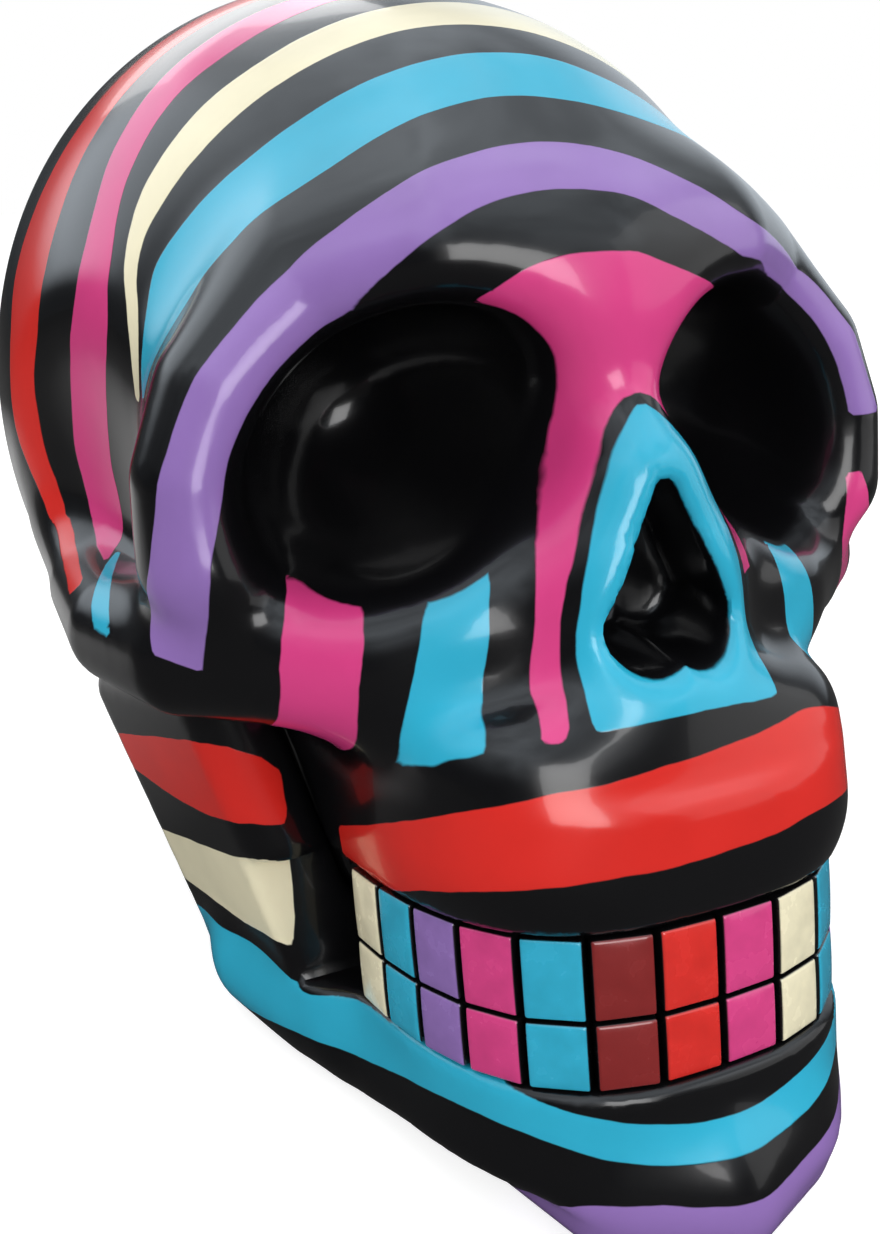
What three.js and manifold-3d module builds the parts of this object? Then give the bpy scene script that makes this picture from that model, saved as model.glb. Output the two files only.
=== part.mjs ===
// Sugar skull: a hollow cast ornamental skull with a bonded jaw, set-in teeth, a base plug and felt pads.
// Millimetres. X runs to the skull's left, Y to the back of the head and Z up from the table.

import * as THREE from 'three';
import { mergeVertices } from 'three/addons/utils/BufferGeometryUtils.js';
import Module from 'manifold-3d';

const wasm = await Module();
wasm.setup();

// Braincase. Distances back are from the bridge of the nose, heights from the table.
const VAULT_WIDTH = 134;
const VAULT_LENGTH = 183;
const VAULT_HEIGHT = 142;
const VAULT_BACK = 93.5;
const VAULT_UP = 93;
const VAULT_PITCH = 7.5; // degrees, back end up
const FOREHEAD_WIDTH = 80;
const FOREHEAD_LENGTH = 106;
const FOREHEAD_HEIGHT = 90;
const FOREHEAD_BACK = 57;
const FOREHEAD_UP = 110;
const HEEL_WIDTH = 78;
const HEEL_LENGTH = 96;
const HEEL_HEIGHT = 92;
const HEEL_BACK = 92;
const HEEL_UP = 36;
const THROAT_WIDTH = 90;
const THROAT_LENGTH = 50;
const THROAT_HEIGHT = 84;
const THROAT_BACK = 44;
const THROAT_UP = 40;
const TEMPLE_DISH_OUT = 77; // centre of the scooped temple, from the middle
const TEMPLE_DISH_BACK = 47;
const TEMPLE_DISH_UP = 92;
const TEMPLE_DISH_WIDTH = 46;
const TEMPLE_DISH_LENGTH = 64;
const TEMPLE_DISH_HEIGHT = 68;
const WALL = 7;
const HOLLOW_FRONT = 34; // the hollow starts this far behind the bridge

// Eye sockets
const EYE_WIDTH = 42;
const EYE_HEIGHT = 29;
const EYE_DEPTH = 34;
const EYE_OUT = 26.9;
const EYE_BACK = 11;
const EYE_UP = 101.4;
const EYE_SLANT = 39; // degrees, outer corner down
const EYE_TURN = 6; // degrees, bottom of the socket turned inward

// Nose opening: two round lobes under a narrow top
const NOSE_LOBE_RADIUS = 5.8;
const NOSE_LOBE_OUT = 3.7;
const NOSE_LOBE_UP = 81.8;
const NOSE_TOP_RADIUS = 1.6;
const NOSE_TOP_UP = 98;
const NOSE_FLOOR_BACK = 2;
const NOSE_SIDE_WIDTH = 32;
const NOSE_SIDE_DEPTH = 31;
const NOSE_SIDE_HEIGHT = 46;
const NOSE_SIDE_UP = 82;

// Upper jaw and tooth rows. The bite is where the two rows meet in front.
const BITE_TILT = 10; // degrees, back of the rows down
const BITE_FRONT = 27.8; // forward of the bridge of the nose
const BITE_UP = 36.5;
const ARCH_WIDTH = 68;
const ARCH_LENGTH = 112;
const ARCH_SQUARENESS = 2.8;
const MUZZLE_WIDTH = 67;
const MUZZLE_LENGTH = 88;
const MUZZLE_SQUARENESS = 3.5;
const MUZZLE_PROUD = 2.2; // the upper lip ridge stands in front of the teeth
const MUZZLE_LEAN = 7; // degrees, from the line of the teeth to the back
const MUZZLE_TOP = 39; // above the bite
const MUZZLE_BOTTOM = 11;
const MUZZLE_BACK = 60; // behind the front of the bite
const PALATE_TOP = 26;
const TEETH_PER_SIDE = 7;
const TOOTH_WIDTH = 8.8;
const TOOTH_DEPTH = 5;
const TOOTH_PROUD = 0.6; // crown stands out of the gum
const TOOTH_ROUNDING = 0.9;
const TOOTH_LINE = 0.9; // dark line between two teeth
const UPPER_TOOTH_HEIGHT = 10.8;
const LOWER_TOOTH_HEIGHT = 9;
const BITE_LINE = 0.5;

// Jaw
const JAW_GUM_DROP = 24; // gum wall, below the bite
const JAW_GUM_THICKNESS = 15;
const JAW_GUM_BACK = 56;
const JAW_BEHIND = 1.5; // lower gum stands in front of the upper one
const RAMUS_WIDTH = 44;
const RAMUS_THICKNESS = 13;
const RAMUS_HEIGHT = 68;
const RAMUS_OUT = 43;
const RAMUS_BACK = 41.5;
const RAMUS_UP = 32;
const RAMUS_ROUNDING = 6;
const RAMUS_LEAN = 15; // degrees, top to the back
const RAMUS_SPLAY = 13; // degrees, top outward
const RAMUS_TURN = 12; // degrees, back edge outward

// Base and fits
const PLUG_DIAMETER = 20;
const PLUG_HEAD_DIAMETER = 26;
const PLUG_HEAD_THICKNESS = 2.5;
const PLUG_RECESS = 1.5; // head lies this far inside the base
const PLUG_BACK = 92;
const PAD_DIAMETER = 10;
const PAD_THICKNESS = 1.6;
const JAW_PAD_OUT = 30;
const JAW_PAD_BACK = 19;
const HEEL_PAD_OUT = 13;
const HEEL_PAD_BACK = 110;
const FIT_GAP = 0.3; // glue line between neighbours
const SEAT_GAP = 0.6; // round the jaw's sockets, where both sides are curved

// Rounding where two forms of a casting run into each other
const SOFT = 28;
const FLOWING = 18;
const BROAD = 10;
const CLOSE = 6;
const CRISP = 4;

// Solids from formulas: each form is a function of a point that is negative inside

const smoothMin = (a, b, rounding) => {
  const reach = Math.max(rounding - Math.abs(a - b), 0) / rounding;
  return Math.min(a, b) - (reach * reach * rounding) / 4;
};

const join = (rounding, a, b) => (p) => smoothMin(a(p), b(p), rounding);
const carve = (rounding, body, hollow) => (p) => -smoothMin(-body(p), hollow(p), rounding);
const mirrored = (form) => (p) => form(new THREE.Vector3(Math.abs(p.x), p.y, p.z));

// Ellipsoid by centre and full size; pitch lifts its back, turn swings its back inward, slant drops its outer end
function ellipsoid(centre, size, { pitch = 0, turn = 0, slant = 0 } = {}) {
  const [pitchAngle, turnAngle, slantAngle] = [pitch, turn, slant].map(THREE.MathUtils.degToRad);
  const placed = new THREE.Euler(pitchAngle, slantAngle, turnAngle, 'ZXY');
  const unturn = new THREE.Quaternion().setFromEuler(placed).invert();
  const middle = new THREE.Vector3(...centre);
  const half = new THREE.Vector3(...size).multiplyScalar(0.5);
  return (p) => {
    const q = p.clone().sub(middle).applyQuaternion(unturn).divide(half);
    const radius = q.length();
    const slope = q.divide(half).length();
    return slope > 0 ? (radius * (radius - 1)) / slope : -half.length();
  };
}

// Rounded bar through balls, each given as x, y, z, radius
function bar(...balls) {
  const ends = balls.map(([x, y, z]) => new THREE.Vector3(x, y, z));
  return (p) => {
    let distance = Infinity;
    for (let i = 0; i + 1 < balls.length; i++) {
      const along = ends[i + 1].clone().sub(ends[i]);
      const offset = p.clone().sub(ends[i]);
      const share = THREE.MathUtils.clamp(offset.dot(along) / along.lengthSq(), 0, 1);
      const radius = THREE.MathUtils.lerp(balls[i][3], balls[i + 1][3], share);
      distance = Math.min(distance, offset.addScaledVector(along, -share).length() - radius);
    }
    return distance;
  };
}

// Upright plate with round edges; pitch leans its top to the back, slant leans its top outward and turn swings
// its back edge outward
function plate(centre, size, rounding, { pitch = 0, slant = 0, turn = 0 }) {
  const [pitchAngle, slantAngle, turnAngle] = [-pitch, slant, -turn].map(THREE.MathUtils.degToRad);
  const placed = new THREE.Euler(pitchAngle, slantAngle, turnAngle, 'ZXY');
  const unturn = new THREE.Quaternion().setFromEuler(placed).invert();
  const middle = new THREE.Vector3(...centre);
  const core = new THREE.Vector3(...size).multiplyScalar(0.5).subScalar(rounding);
  return (p) => {
    const q = p.clone().sub(middle).applyQuaternion(unturn);
    const out = new THREE.Vector3(Math.abs(q.x), Math.abs(q.y), Math.abs(q.z)).sub(core);
    const within = Math.min(Math.max(out.x, out.y, out.z), 0);
    return out.clampScalar(0, Infinity).length() + within - rounding;
  };
}

// Mouth frame: origin at the front of the bite, Y back along the tooth rows, Z up the teeth
const mouth = new THREE.Object3D();
mouth.position.set(0, -BITE_FRONT, BITE_UP);
mouth.rotation.x = -THREE.MathUtils.degToRad(BITE_TILT);
mouth.updateMatrix();
const toMouth = mouth.matrix.clone().invert();

// Block of horseshoe plan in the mouth frame: front at y = -proud and leaning back, cut off at back, between
// two heights
function archBlock({ width, length, squareness, proud, lean = 0, bottom, top, back, rounding }) {
  const [halfWidth, halfLength] = [width / 2, length / 2];
  const slope = Math.tan(THREE.MathUtils.degToRad(lean));
  return (p) => {
    const q = p.clone().applyMatrix4(toMouth);
    q.y -= q.z * slope;
    const x = Math.abs(q.x) / halfWidth;
    const y = Math.abs(q.y + proud - halfLength) / halfLength;
    const radius = (x ** squareness + y ** squareness) ** (1 / squareness);
    const steepX = (x / radius) ** (squareness - 1) / halfWidth;
    const steepY = (y / radius) ** (squareness - 1) / halfLength;
    const side = radius > 0 ? (radius - 1) / Math.hypot(steepX, steepY) : -halfWidth;
    const ends = Math.max(q.z - top, bottom - q.z, q.y - back);
    return -smoothMin(-side, -ends, rounding);
  };
}

// Grid lines from a start through spans of [end, spacing]
function gridLines(start, ...spans) {
  const lines = [start];
  for (const [end, spacing] of spans) {
    const from = lines.at(-1);
    const count = Math.ceil((end - from) / spacing);
    for (let i = 1; i <= count; i++) lines.push(from + ((end - from) * i) / count);
  }
  return lines;
}

// Closed mesh of a form on a grid. Where the surface cuts a cell, the cut edges make one or more loops, and each
// loop gets a vertex. A face lies over each cut grid edge.
function polygonise(form, ...lines) {
  const counts = lines.map((list) => list.length);
  const values = new Float64Array(counts[0] * counts[1] * counts[2]);
  const index = (node) => (node[2] * counts[1] + node[1]) * counts[0] + node[0];
  const point = (node) => new THREE.Vector3(...node.map((step, axis) => lines[axis][step]));
  const stepped = (node, axis, by) => node.map((step, i) => (i === axis ? step + by : step));
  const isInside = (node) => values[index(node)] < 0;
  const isCut = ({ from, axis }) => isInside(from) !== isInside(stepped(from, axis, 1));
  const edgeKey = ({ from, axis }) => index(from) * 3 + axis;
  const slotKey = (cell, edge) => index(cell) * values.length * 3 + edgeKey(edge);
  const eachNode = (short, visit) => {
    for (let k = 0; k < counts[2] - short; k++) {
      for (let j = 0; j < counts[1] - short; j++) {
        for (let i = 0; i < counts[0] - short; i++) visit([i, j, k]);
      }
    }
  };
  const crossing = ({ from, axis }) => {
    const to = stepped(from, axis, 1);
    const [a, b] = [values[index(from)], values[index(to)]];
    return point(from).lerp(point(to), a / (a - b));
  };

  // The two edges of a cell's side that each inside corner or each single cut joins
  const pairsOnSide = (corner, u, v) => {
    const corners = [corner, stepped(corner, u, 1), stepped(stepped(corner, u, 1), v, 1), stepped(corner, v, 1)];
    const edges = [
      { from: corners[0], axis: u },
      { from: corners[1], axis: v },
      { from: corners[3], axis: u },
      { from: corners[0], axis: v },
    ];
    const cut = edges.filter(isCut);
    if (cut.length === 2) return [cut];
    if (cut.length === 0) return [];
    return corners.flatMap((node, i) => (isInside(node) ? [[edges[(i + 3) % 4], edges[i]]] : []));
  };

  const positions = [];
  const vertexOf = new Map();
  const addVertices = (cell) => {
    const loopOf = new Map();
    for (let axis = 0; axis < 3; axis++) {
      for (const side of [0, 1]) {
        const corner = stepped(cell, axis, side);
        for (const pair of pairsOnSide(corner, (axis + 1) % 3, (axis + 2) % 3)) {
          const loops = pair.map((edge) => loopOf.get(edgeKey(edge)) ?? [edge]);
          const merged = loops[0] === loops[1] ? loops[0] : [...loops[0], ...loops[1]];
          for (const edge of merged) loopOf.set(edgeKey(edge), merged);
        }
      }
    }
    for (const loop of new Set(loopOf.values())) {
      const middle = new THREE.Vector3();
      for (const edge of loop) middle.addScaledVector(crossing(edge), 1 / loop.length);
      for (const edge of loop) vertexOf.set(slotKey(cell, edge), positions.length / 3);
      positions.push(...middle);
    }
  };

  const faces = [];
  const addFaces = (from) => {
    for (let axis = 0; axis < 3; axis++) {
      const edge = { from, axis };
      const [u, v] = [(axis + 1) % 3, (axis + 2) % 3];
      if (from[u] === 0 || from[v] === 0 || !isCut(edge)) continue;
      const ring = [[-1, -1], [0, -1], [0, 0], [-1, 0]].map(([du, dv]) =>
        vertexOf.get(slotKey(stepped(stepped(from, u, du), v, dv), edge)));
      if (!isInside(from)) ring.reverse();
      const corners = ring.map((vertex) => new THREE.Vector3().fromArray(positions, vertex * 3));
      const [first, second] = [corners[0].distanceTo(corners[2]), corners[1].distanceTo(corners[3])];
      const order = first < second ? [0, 1, 2, 0, 2, 3] : [0, 1, 3, 1, 2, 3];
      faces.push(...order.map((i) => ring[i]));
    }
  };

  eachNode(0, (node) => {
    values[index(node)] = form(point(node));
  });
  eachNode(1, addVertices);
  eachNode(1, addFaces);
  const geometry = new THREE.BufferGeometry();
  geometry.setAttribute('position', new THREE.Float32BufferAttribute(positions, 3));
  geometry.setIndex(faces);
  return geometry;
}

// Solid booleans

function solid(geometry) {
  const bare = geometry.clone();
  bare.deleteAttribute('normal');
  bare.deleteAttribute('uv');
  const merged = mergeVertices(bare, 1e-4);
  const mesh = new wasm.Mesh({
    numProp: 3,
    vertProperties: new Float32Array(merged.attributes.position.array),
    triVerts: new Uint32Array(merged.index.array),
  });
  return new wasm.Manifold(mesh);
}

function geometryOf(manifold) {
  const mesh = manifold.getMesh();
  const geometry = new THREE.BufferGeometry();
  geometry.setAttribute('position', new THREE.BufferAttribute(mesh.vertProperties.slice(), 3));
  geometry.setIndex(new THREE.BufferAttribute(mesh.triVerts.slice(), 1));
  geometry.computeVertexNormals();
  return geometry;
}

function block(low, high) {
  const size = new THREE.Vector3().subVectors(high, low);
  const middle = new THREE.Vector3().addVectors(high, low).multiplyScalar(0.5);
  return new THREE.BoxGeometry(size.x, size.y, size.z).translate(middle.x, middle.y, middle.z);
}

// Cranium form

const vault = ellipsoid(
  [0, VAULT_BACK, VAULT_UP],
  [VAULT_WIDTH, VAULT_LENGTH, VAULT_HEIGHT],
  { pitch: VAULT_PITCH },
);
const heel = ellipsoid([0, HEEL_BACK, HEEL_UP], [HEEL_WIDTH, HEEL_LENGTH, HEEL_HEIGHT]);
const templeDish = ellipsoid(
  [TEMPLE_DISH_OUT, TEMPLE_DISH_BACK, TEMPLE_DISH_UP],
  [TEMPLE_DISH_WIDTH, TEMPLE_DISH_LENGTH, TEMPLE_DISH_HEIGHT],
);
const brow = bar(
  [0, 13, 121, 10.5],
  [18, 16, 121.5, 10],
  [32, 25, 117.5, 9],
  [45, 23, 107, 8.5],
  [49.5, 22, 97, 8.5],
  [49.5, 21, 87, 9],
);
const forehead = ellipsoid(
  [0, FOREHEAD_BACK, FOREHEAD_UP],
  [FOREHEAD_WIDTH, FOREHEAD_LENGTH, FOREHEAD_HEIGHT],
);
const noseBridge = bar([0, 11, 114, 6.5], [0, 6.5, 106, 5.7], [0, -3, 98.5, 6.5]);
const noseSides = ellipsoid(
  [0, 0, NOSE_SIDE_UP],
  [NOSE_SIDE_WIDTH, NOSE_SIDE_DEPTH, NOSE_SIDE_HEIGHT],
  { pitch: -14 },
);
const cheekWall = ellipsoid([18, 14, 79], [48, 38, 46], { turn: 20 });
const cheekbone = bar(
  [30.5, 12.5, 73.5, 10.5],
  [41, 20, 73.5, 10.5],
  [52, 28, 72, 9],
  [57.5, 44, 71, 8.5],
  [58.5, 62, 72, 7.5],
  [57, 82, 76, 6.5],
);
const throat = ellipsoid([0, THROAT_BACK, THROAT_UP], [THROAT_WIDTH, THROAT_LENGTH, THROAT_HEIGHT]);
const muzzle = archBlock({
  width: MUZZLE_WIDTH,
  length: MUZZLE_LENGTH,
  squareness: MUZZLE_SQUARENESS,
  proud: MUZZLE_PROUD,
  lean: MUZZLE_LEAN,
  bottom: MUZZLE_BOTTOM,
  top: MUZZLE_TOP,
  back: MUZZLE_BACK,
  rounding: BROAD,
});
const palate = archBlock({
  width: ARCH_WIDTH,
  length: ARCH_LENGTH,
  squareness: ARCH_SQUARENESS,
  proud: 0,
  bottom: FIT_GAP / 2,
  top: PALATE_TOP,
  back: MUZZLE_BACK,
  rounding: CRISP / 2,
});
const eyeSocket = ellipsoid(
  [EYE_OUT, EYE_BACK, EYE_UP],
  [EYE_WIDTH, EYE_DEPTH * 2, EYE_HEIGHT],
  { turn: EYE_TURN, slant: EYE_SLANT },
);

const braincase = join(BROAD, join(SOFT, vault, heel), throat);
let face = join(FLOWING, carve(BROAD, join(BROAD, braincase, forehead), templeDish), brow);
face = join(CLOSE, face, noseBridge);
face = join(CLOSE, face, noseSides);
face = join(BROAD, face, muzzle);
face = join(CRISP, face, palate);
face = join(CLOSE, face, cheekWall);
face = join(CLOSE, face, cheekbone);
const craniumForm = mirrored(carve(BROAD, face, eyeSocket));

// Jaw form

const jawBorder = bar(
  [0, -28.5, 9.5, 10.5],
  [10.5, -24.5, 9, 10],
  [21.5, 3, 9.2, 9],
  [34, 27, 9, 9],
  [40, 42, 10, 9],
);
const lowerGumBlock = archBlock({
  width: ARCH_WIDTH,
  length: ARCH_LENGTH,
  squareness: ARCH_SQUARENESS,
  proud: JAW_BEHIND,
  bottom: -JAW_GUM_DROP,
  top: -FIT_GAP / 2,
  back: JAW_GUM_BACK,
  rounding: CRISP / 2,
});
const tongueSpace = archBlock({
  width: ARCH_WIDTH - 2 * JAW_GUM_THICKNESS,
  length: 2 * ARCH_LENGTH,
  squareness: ARCH_SQUARENESS,
  proud: JAW_BEHIND - JAW_GUM_THICKNESS,
  bottom: -2 * JAW_GUM_DROP,
  top: JAW_GUM_DROP,
  back: ARCH_LENGTH,
  rounding: CRISP,
});
const ramus = plate(
  [RAMUS_OUT, RAMUS_BACK, RAMUS_UP],
  [RAMUS_THICKNESS, RAMUS_WIDTH, RAMUS_HEIGHT],
  RAMUS_ROUNDING,
  { pitch: RAMUS_LEAN, slant: RAMUS_SPLAY, turn: RAMUS_TURN },
);
const jawBody = join(CLOSE, jawBorder, carve(CRISP, lowerGumBlock, tongueSpace));
const jawForm = mirrored(join(CLOSE, jawBody, ramus));

// Teeth: tiles side by side along the arch, each cut to the arch's own curve

class ToothArch extends THREE.Curve {
  getPoint(share, target = new THREE.Vector3()) {
    const angle = (share - 0.5) * Math.PI;
    const power = 2 / ARCH_SQUARENESS;
    const x = Math.sign(angle) * Math.abs(Math.sin(angle)) ** power * (ARCH_WIDTH / 2);
    const y = (1 - Math.cos(angle) ** power) * (ARCH_LENGTH / 2);
    return target.set(x, y, 0);
  }
}

const toothArch = new ToothArch();
toothArch.arcLengthDivisions = 2000;
const archRun = toothArch.getLength();

// Point of the arch at a signed run from the midline, moved out from the curve
function archPoint(run, out) {
  const share = 0.5 + run / archRun;
  const point = toothArch.getPointAt(share);
  const tangent = toothArch.getTangentAt(share);
  return new THREE.Vector2(point.x + tangent.y * out, point.y - tangent.x * out);
}

function archStrip(fromRun, toRun, inner, outer, steps, cornerRun = 0) {
  const runs = Array.from({ length: steps + 1 }, (_, i) => THREE.MathUtils.lerp(fromRun, toRun, i / steps));
  const front = runs.map((run, i) => {
    const corner = i === 0 || i === steps ? cornerRun : 0;
    return archPoint(run, outer - corner);
  });
  const back = runs.map((run) => archPoint(run, inner)).reverse();
  return new THREE.Shape([...front, ...back]);
}

function tooth(fromRun, toRun, low, high) {
  const outline = archStrip(fromRun, toRun, -TOOTH_DEPTH, TOOTH_PROUD, 3, TOOTH_ROUNDING);
  const geometry = new THREE.ExtrudeGeometry(outline, {
    depth: high - low - 2 * TOOTH_ROUNDING,
    bevelEnabled: true,
    bevelThickness: TOOTH_ROUNDING,
    bevelSize: TOOTH_ROUNDING,
    bevelOffset: -TOOTH_ROUNDING,
    bevelSegments: 1,
  });
  geometry.translate(0, 0, low + TOOTH_ROUNDING);
  return geometry.applyMatrix4(mouth.matrix);
}

const rowRun = TEETH_PER_SIDE * TOOTH_WIDTH;
const rebateOutline = archStrip(-rowRun, rowRun, -TOOTH_DEPTH - FIT_GAP, BROAD, 60);
const rebateLow = -LOWER_TOOTH_HEIGHT - BITE_LINE / 2 - FIT_GAP;
const rebateHigh = UPPER_TOOTH_HEIGHT + BITE_LINE / 2 + FIT_GAP;
const toothRebate = new THREE.ExtrudeGeometry(rebateOutline, { depth: rebateHigh - rebateLow, bevelEnabled: false });
toothRebate.translate(0, 0, rebateLow).applyMatrix4(mouth.matrix);

// Nose opening: outline of the two lobes and the narrow top, cut straight back

function noseOutline() {
  const rise = NOSE_TOP_UP - NOSE_LOBE_UP;
  const run = Math.hypot(rise, NOSE_LOBE_OUT);
  const lean = Math.atan2(rise, -NOSE_LOBE_OUT);
  const tangent = lean - Math.acos((NOSE_LOBE_RADIUS - NOSE_TOP_RADIUS) / run);
  const spine = -Math.PI + Math.acos(NOSE_LOBE_OUT / NOSE_LOBE_RADIUS);
  const outline = new THREE.Shape();
  outline.absarc(NOSE_LOBE_OUT, NOSE_LOBE_UP, NOSE_LOBE_RADIUS, spine, tangent, false);
  outline.absarc(0, NOSE_TOP_UP, NOSE_TOP_RADIUS, tangent, Math.PI - tangent, false);
  outline.absarc(-NOSE_LOBE_OUT, NOSE_LOBE_UP, NOSE_LOBE_RADIUS, Math.PI - tangent, Math.PI - spine, false);
  return outline;
}

const noseCutReach = 60;
const noseCut = new THREE.ExtrudeGeometry(noseOutline(), {
  depth: noseCutReach,
  bevelEnabled: false,
  curveSegments: 10,
});
noseCut.rotateX(Math.PI / 2).translate(0, NOSE_FLOOR_BACK, 0);

// Base: flat underside, pour hole and plug

const castingBottom = PAD_THICKNESS + FIT_GAP;
const tableReach = 400;
const tableCut = block(
  new THREE.Vector3(-tableReach, -tableReach, -tableReach),
  new THREE.Vector3(tableReach, tableReach, castingBottom),
);

// Turned shape about a vertical axis at the plug's place, from [radius, height] corners
function turnedAtPlug(corners) {
  const profile = corners.map(([radius, height]) => new THREE.Vector2(radius, height));
  return new THREE.LatheGeometry(profile, 32).rotateX(Math.PI / 2).translate(0, PLUG_BACK, 0);
}

const headLow = castingBottom + PLUG_RECESS;
const headHigh = headLow + PLUG_HEAD_THICKNESS;
const plugTop = headHigh + WALL;
const holeReach = plugTop + 2 * WALL;
const pourHole = turnedAtPlug([
  [0, 0],
  [PLUG_HEAD_DIAMETER / 2 + FIT_GAP, 0],
  [PLUG_HEAD_DIAMETER / 2 + FIT_GAP, headHigh + FIT_GAP],
  [PLUG_DIAMETER / 2 + FIT_GAP, headHigh + FIT_GAP],
  [PLUG_DIAMETER / 2 + FIT_GAP, holeReach],
  [0, holeReach],
]);
const plug = turnedAtPlug([
  [0, headLow],
  [PLUG_HEAD_DIAMETER / 2, headLow],
  [PLUG_HEAD_DIAMETER / 2, headHigh],
  [PLUG_DIAMETER / 2, headHigh],
  [PLUG_DIAMETER / 2, plugTop],
  [0, plugTop],
]);

// Castings: graded grids, fine at the face and coarse over the vault

const craniumGrid = [
  gridLines(-80, [-56, 8], [56, 5], [80, 8]),
  gridLines(-42, [34, 4.8], [62, 7], [196, 15]),
  gridLines(-16, [32, 8], [126, 5], [182, 14]),
];
const hollowGrid = [gridLines(-80, [80, 16]), gridLines(10, [202, 16]), gridLines(-20, [180, 16])];
const jawGrid = [gridLines(-72, [72, 6]), gridLines(-48, [78, 6]), gridLines(-14, [84, 6])];

const inset = (form, by) => (p) => form(p) + by;
const hollow = (p) => Math.max(craniumForm(p) + WALL, HOLLOW_FRONT - p.y);
const jawClearance = polygonise(inset(jawForm, -SEAT_GAP), ...jawGrid);

const cranium = solid(polygonise(craniumForm, ...craniumGrid))
  .subtract(solid(polygonise(hollow, ...hollowGrid)))
  .subtract(solid(noseCut))
  .subtract(solid(toothRebate))
  .subtract(solid(jawClearance))
  .subtract(solid(pourHole))
  .subtract(solid(tableCut));

const jaw = solid(polygonise(jawForm, ...jawGrid)).subtract(solid(toothRebate)).subtract(solid(tableCut));

// Assembly

const skull = new THREE.Group();
skull.name = 'sugar_skull';

function addPiece(name, geometry, color, roughness) {
  const material = new THREE.MeshStandardMaterial({ color, roughness, metalness: 0 });
  const piece = new THREE.Mesh(geometry, material);
  piece.name = name;
  skull.add(piece);
}

const LACQUER_BLACK = '#17171a';
const FELT_BLACK = '#26262a';
const RUBBER_GREY = '#3a3a3d';
const RED = '#d9281f';
const DARK_RED = '#8a2424';
const BLUE = '#27aacb';
const PINK = '#d83a80';
const PURPLE = '#8c6bb1';
const CREAM = '#e4dab8';
const RIGHT_TEETH = [RED, DARK_RED, BLUE, PINK, PURPLE, BLUE, CREAM];
const LEFT_TEETH = [PINK, CREAM, BLUE, PURPLE, RED, DARK_RED, BLUE];
const LACQUER_ROUGHNESS = 0.12;
const SOFT_ROUGHNESS = 0.95;

addPiece('cranium', geometryOf(cranium), LACQUER_BLACK, LACQUER_ROUGHNESS);
addPiece('jaw', geometryOf(jaw), LACQUER_BLACK, LACQUER_ROUGHNESS);

for (const [side, sign, colours] of [['right', -1, RIGHT_TEETH], ['left', 1, LEFT_TEETH]]) {
  for (let i = 0; i < TEETH_PER_SIDE; i++) {
    const runs = [i * TOOTH_WIDTH + TOOTH_LINE / 2, (i + 1) * TOOTH_WIDTH - TOOTH_LINE / 2].map((run) => run * sign);
    const [fromRun, toRun] = [Math.min(...runs), Math.max(...runs)];
    const upper = tooth(fromRun, toRun, BITE_LINE / 2, BITE_LINE / 2 + UPPER_TOOTH_HEIGHT);
    const lower = tooth(fromRun, toRun, -BITE_LINE / 2 - LOWER_TOOTH_HEIGHT, -BITE_LINE / 2);
    addPiece(`upper_tooth_${side}_${i + 1}`, upper, colours[i], LACQUER_ROUGHNESS);
    addPiece(`lower_tooth_${side}_${i + 1}`, lower, colours[i], LACQUER_ROUGHNESS);
  }
}

addPiece('base_plug', plug, RUBBER_GREY, SOFT_ROUGHNESS);

for (const [name, out, back] of [['jaw', JAW_PAD_OUT, JAW_PAD_BACK], ['heel', HEEL_PAD_OUT, HEEL_PAD_BACK]]) {
  for (const [side, sign] of [['right', -1], ['left', 1]]) {
    const pad = new THREE.CylinderGeometry(PAD_DIAMETER / 2, PAD_DIAMETER / 2, PAD_THICKNESS, 24);
    pad.rotateX(Math.PI / 2).translate(sign * out, back, PAD_THICKNESS / 2);
    addPiece(`felt_pad_${name}_${side}`, pad, FELT_BLACK, SOFT_ROUGHNESS);
  }
}

// Origin: middle of the footprint, on the table
const extent = new THREE.Box3().setFromObject(skull);
skull.position.set(0, -(extent.min.y + extent.max.y) / 2, -extent.min.z);
skull.updateMatrixWorld(true);

export default skull;
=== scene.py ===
import math

import bpy
import numpy as np
from mathutils import Matrix, Vector


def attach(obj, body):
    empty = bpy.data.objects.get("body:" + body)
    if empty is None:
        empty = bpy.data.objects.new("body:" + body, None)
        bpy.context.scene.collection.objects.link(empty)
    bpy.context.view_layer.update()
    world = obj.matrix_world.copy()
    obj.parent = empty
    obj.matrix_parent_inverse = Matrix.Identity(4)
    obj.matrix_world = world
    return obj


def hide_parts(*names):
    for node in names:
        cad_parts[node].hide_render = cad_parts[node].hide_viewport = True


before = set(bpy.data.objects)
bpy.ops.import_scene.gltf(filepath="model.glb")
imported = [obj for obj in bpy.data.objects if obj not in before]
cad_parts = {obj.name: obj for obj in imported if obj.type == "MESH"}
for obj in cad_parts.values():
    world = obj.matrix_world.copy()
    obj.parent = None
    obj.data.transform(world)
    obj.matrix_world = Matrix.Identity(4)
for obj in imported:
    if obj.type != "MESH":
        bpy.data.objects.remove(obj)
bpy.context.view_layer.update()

# Cranium: one hollow resin casting, with the vault, brow, eye sockets, nose, cheek arches and upper jaw in a
# single flowing skin. It is built up as a modeller builds clay: rounded masses run together, then hollows
# carved out. Sizes are in millimetres from a point on the table below the bridge of the nose.

BRIDGE_FORWARD = 73.5  # the bridge stands this far in front of the middle of the footprint
CASTING_GRAIN = 1.25  # spacing of the skin's points
CRANIUM_LOW, CRANIUM_HIGH = (-36, -3), (72, 190, 168)  # back and up; out, back and up
TABLE_CLEAR = 1.9  # felt and glue below the casting
SEAT_GAP = 0.6  # round the jaw where it sits in the cranium

# Rounding where two forms meet, from the broadest to the finest.
SOFT, FLOWING, BROAD, CLOSE, CRISP, NOSE_ROUND, FINE = 28, 18, 10, 6, 4, 3, 1.6

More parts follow.
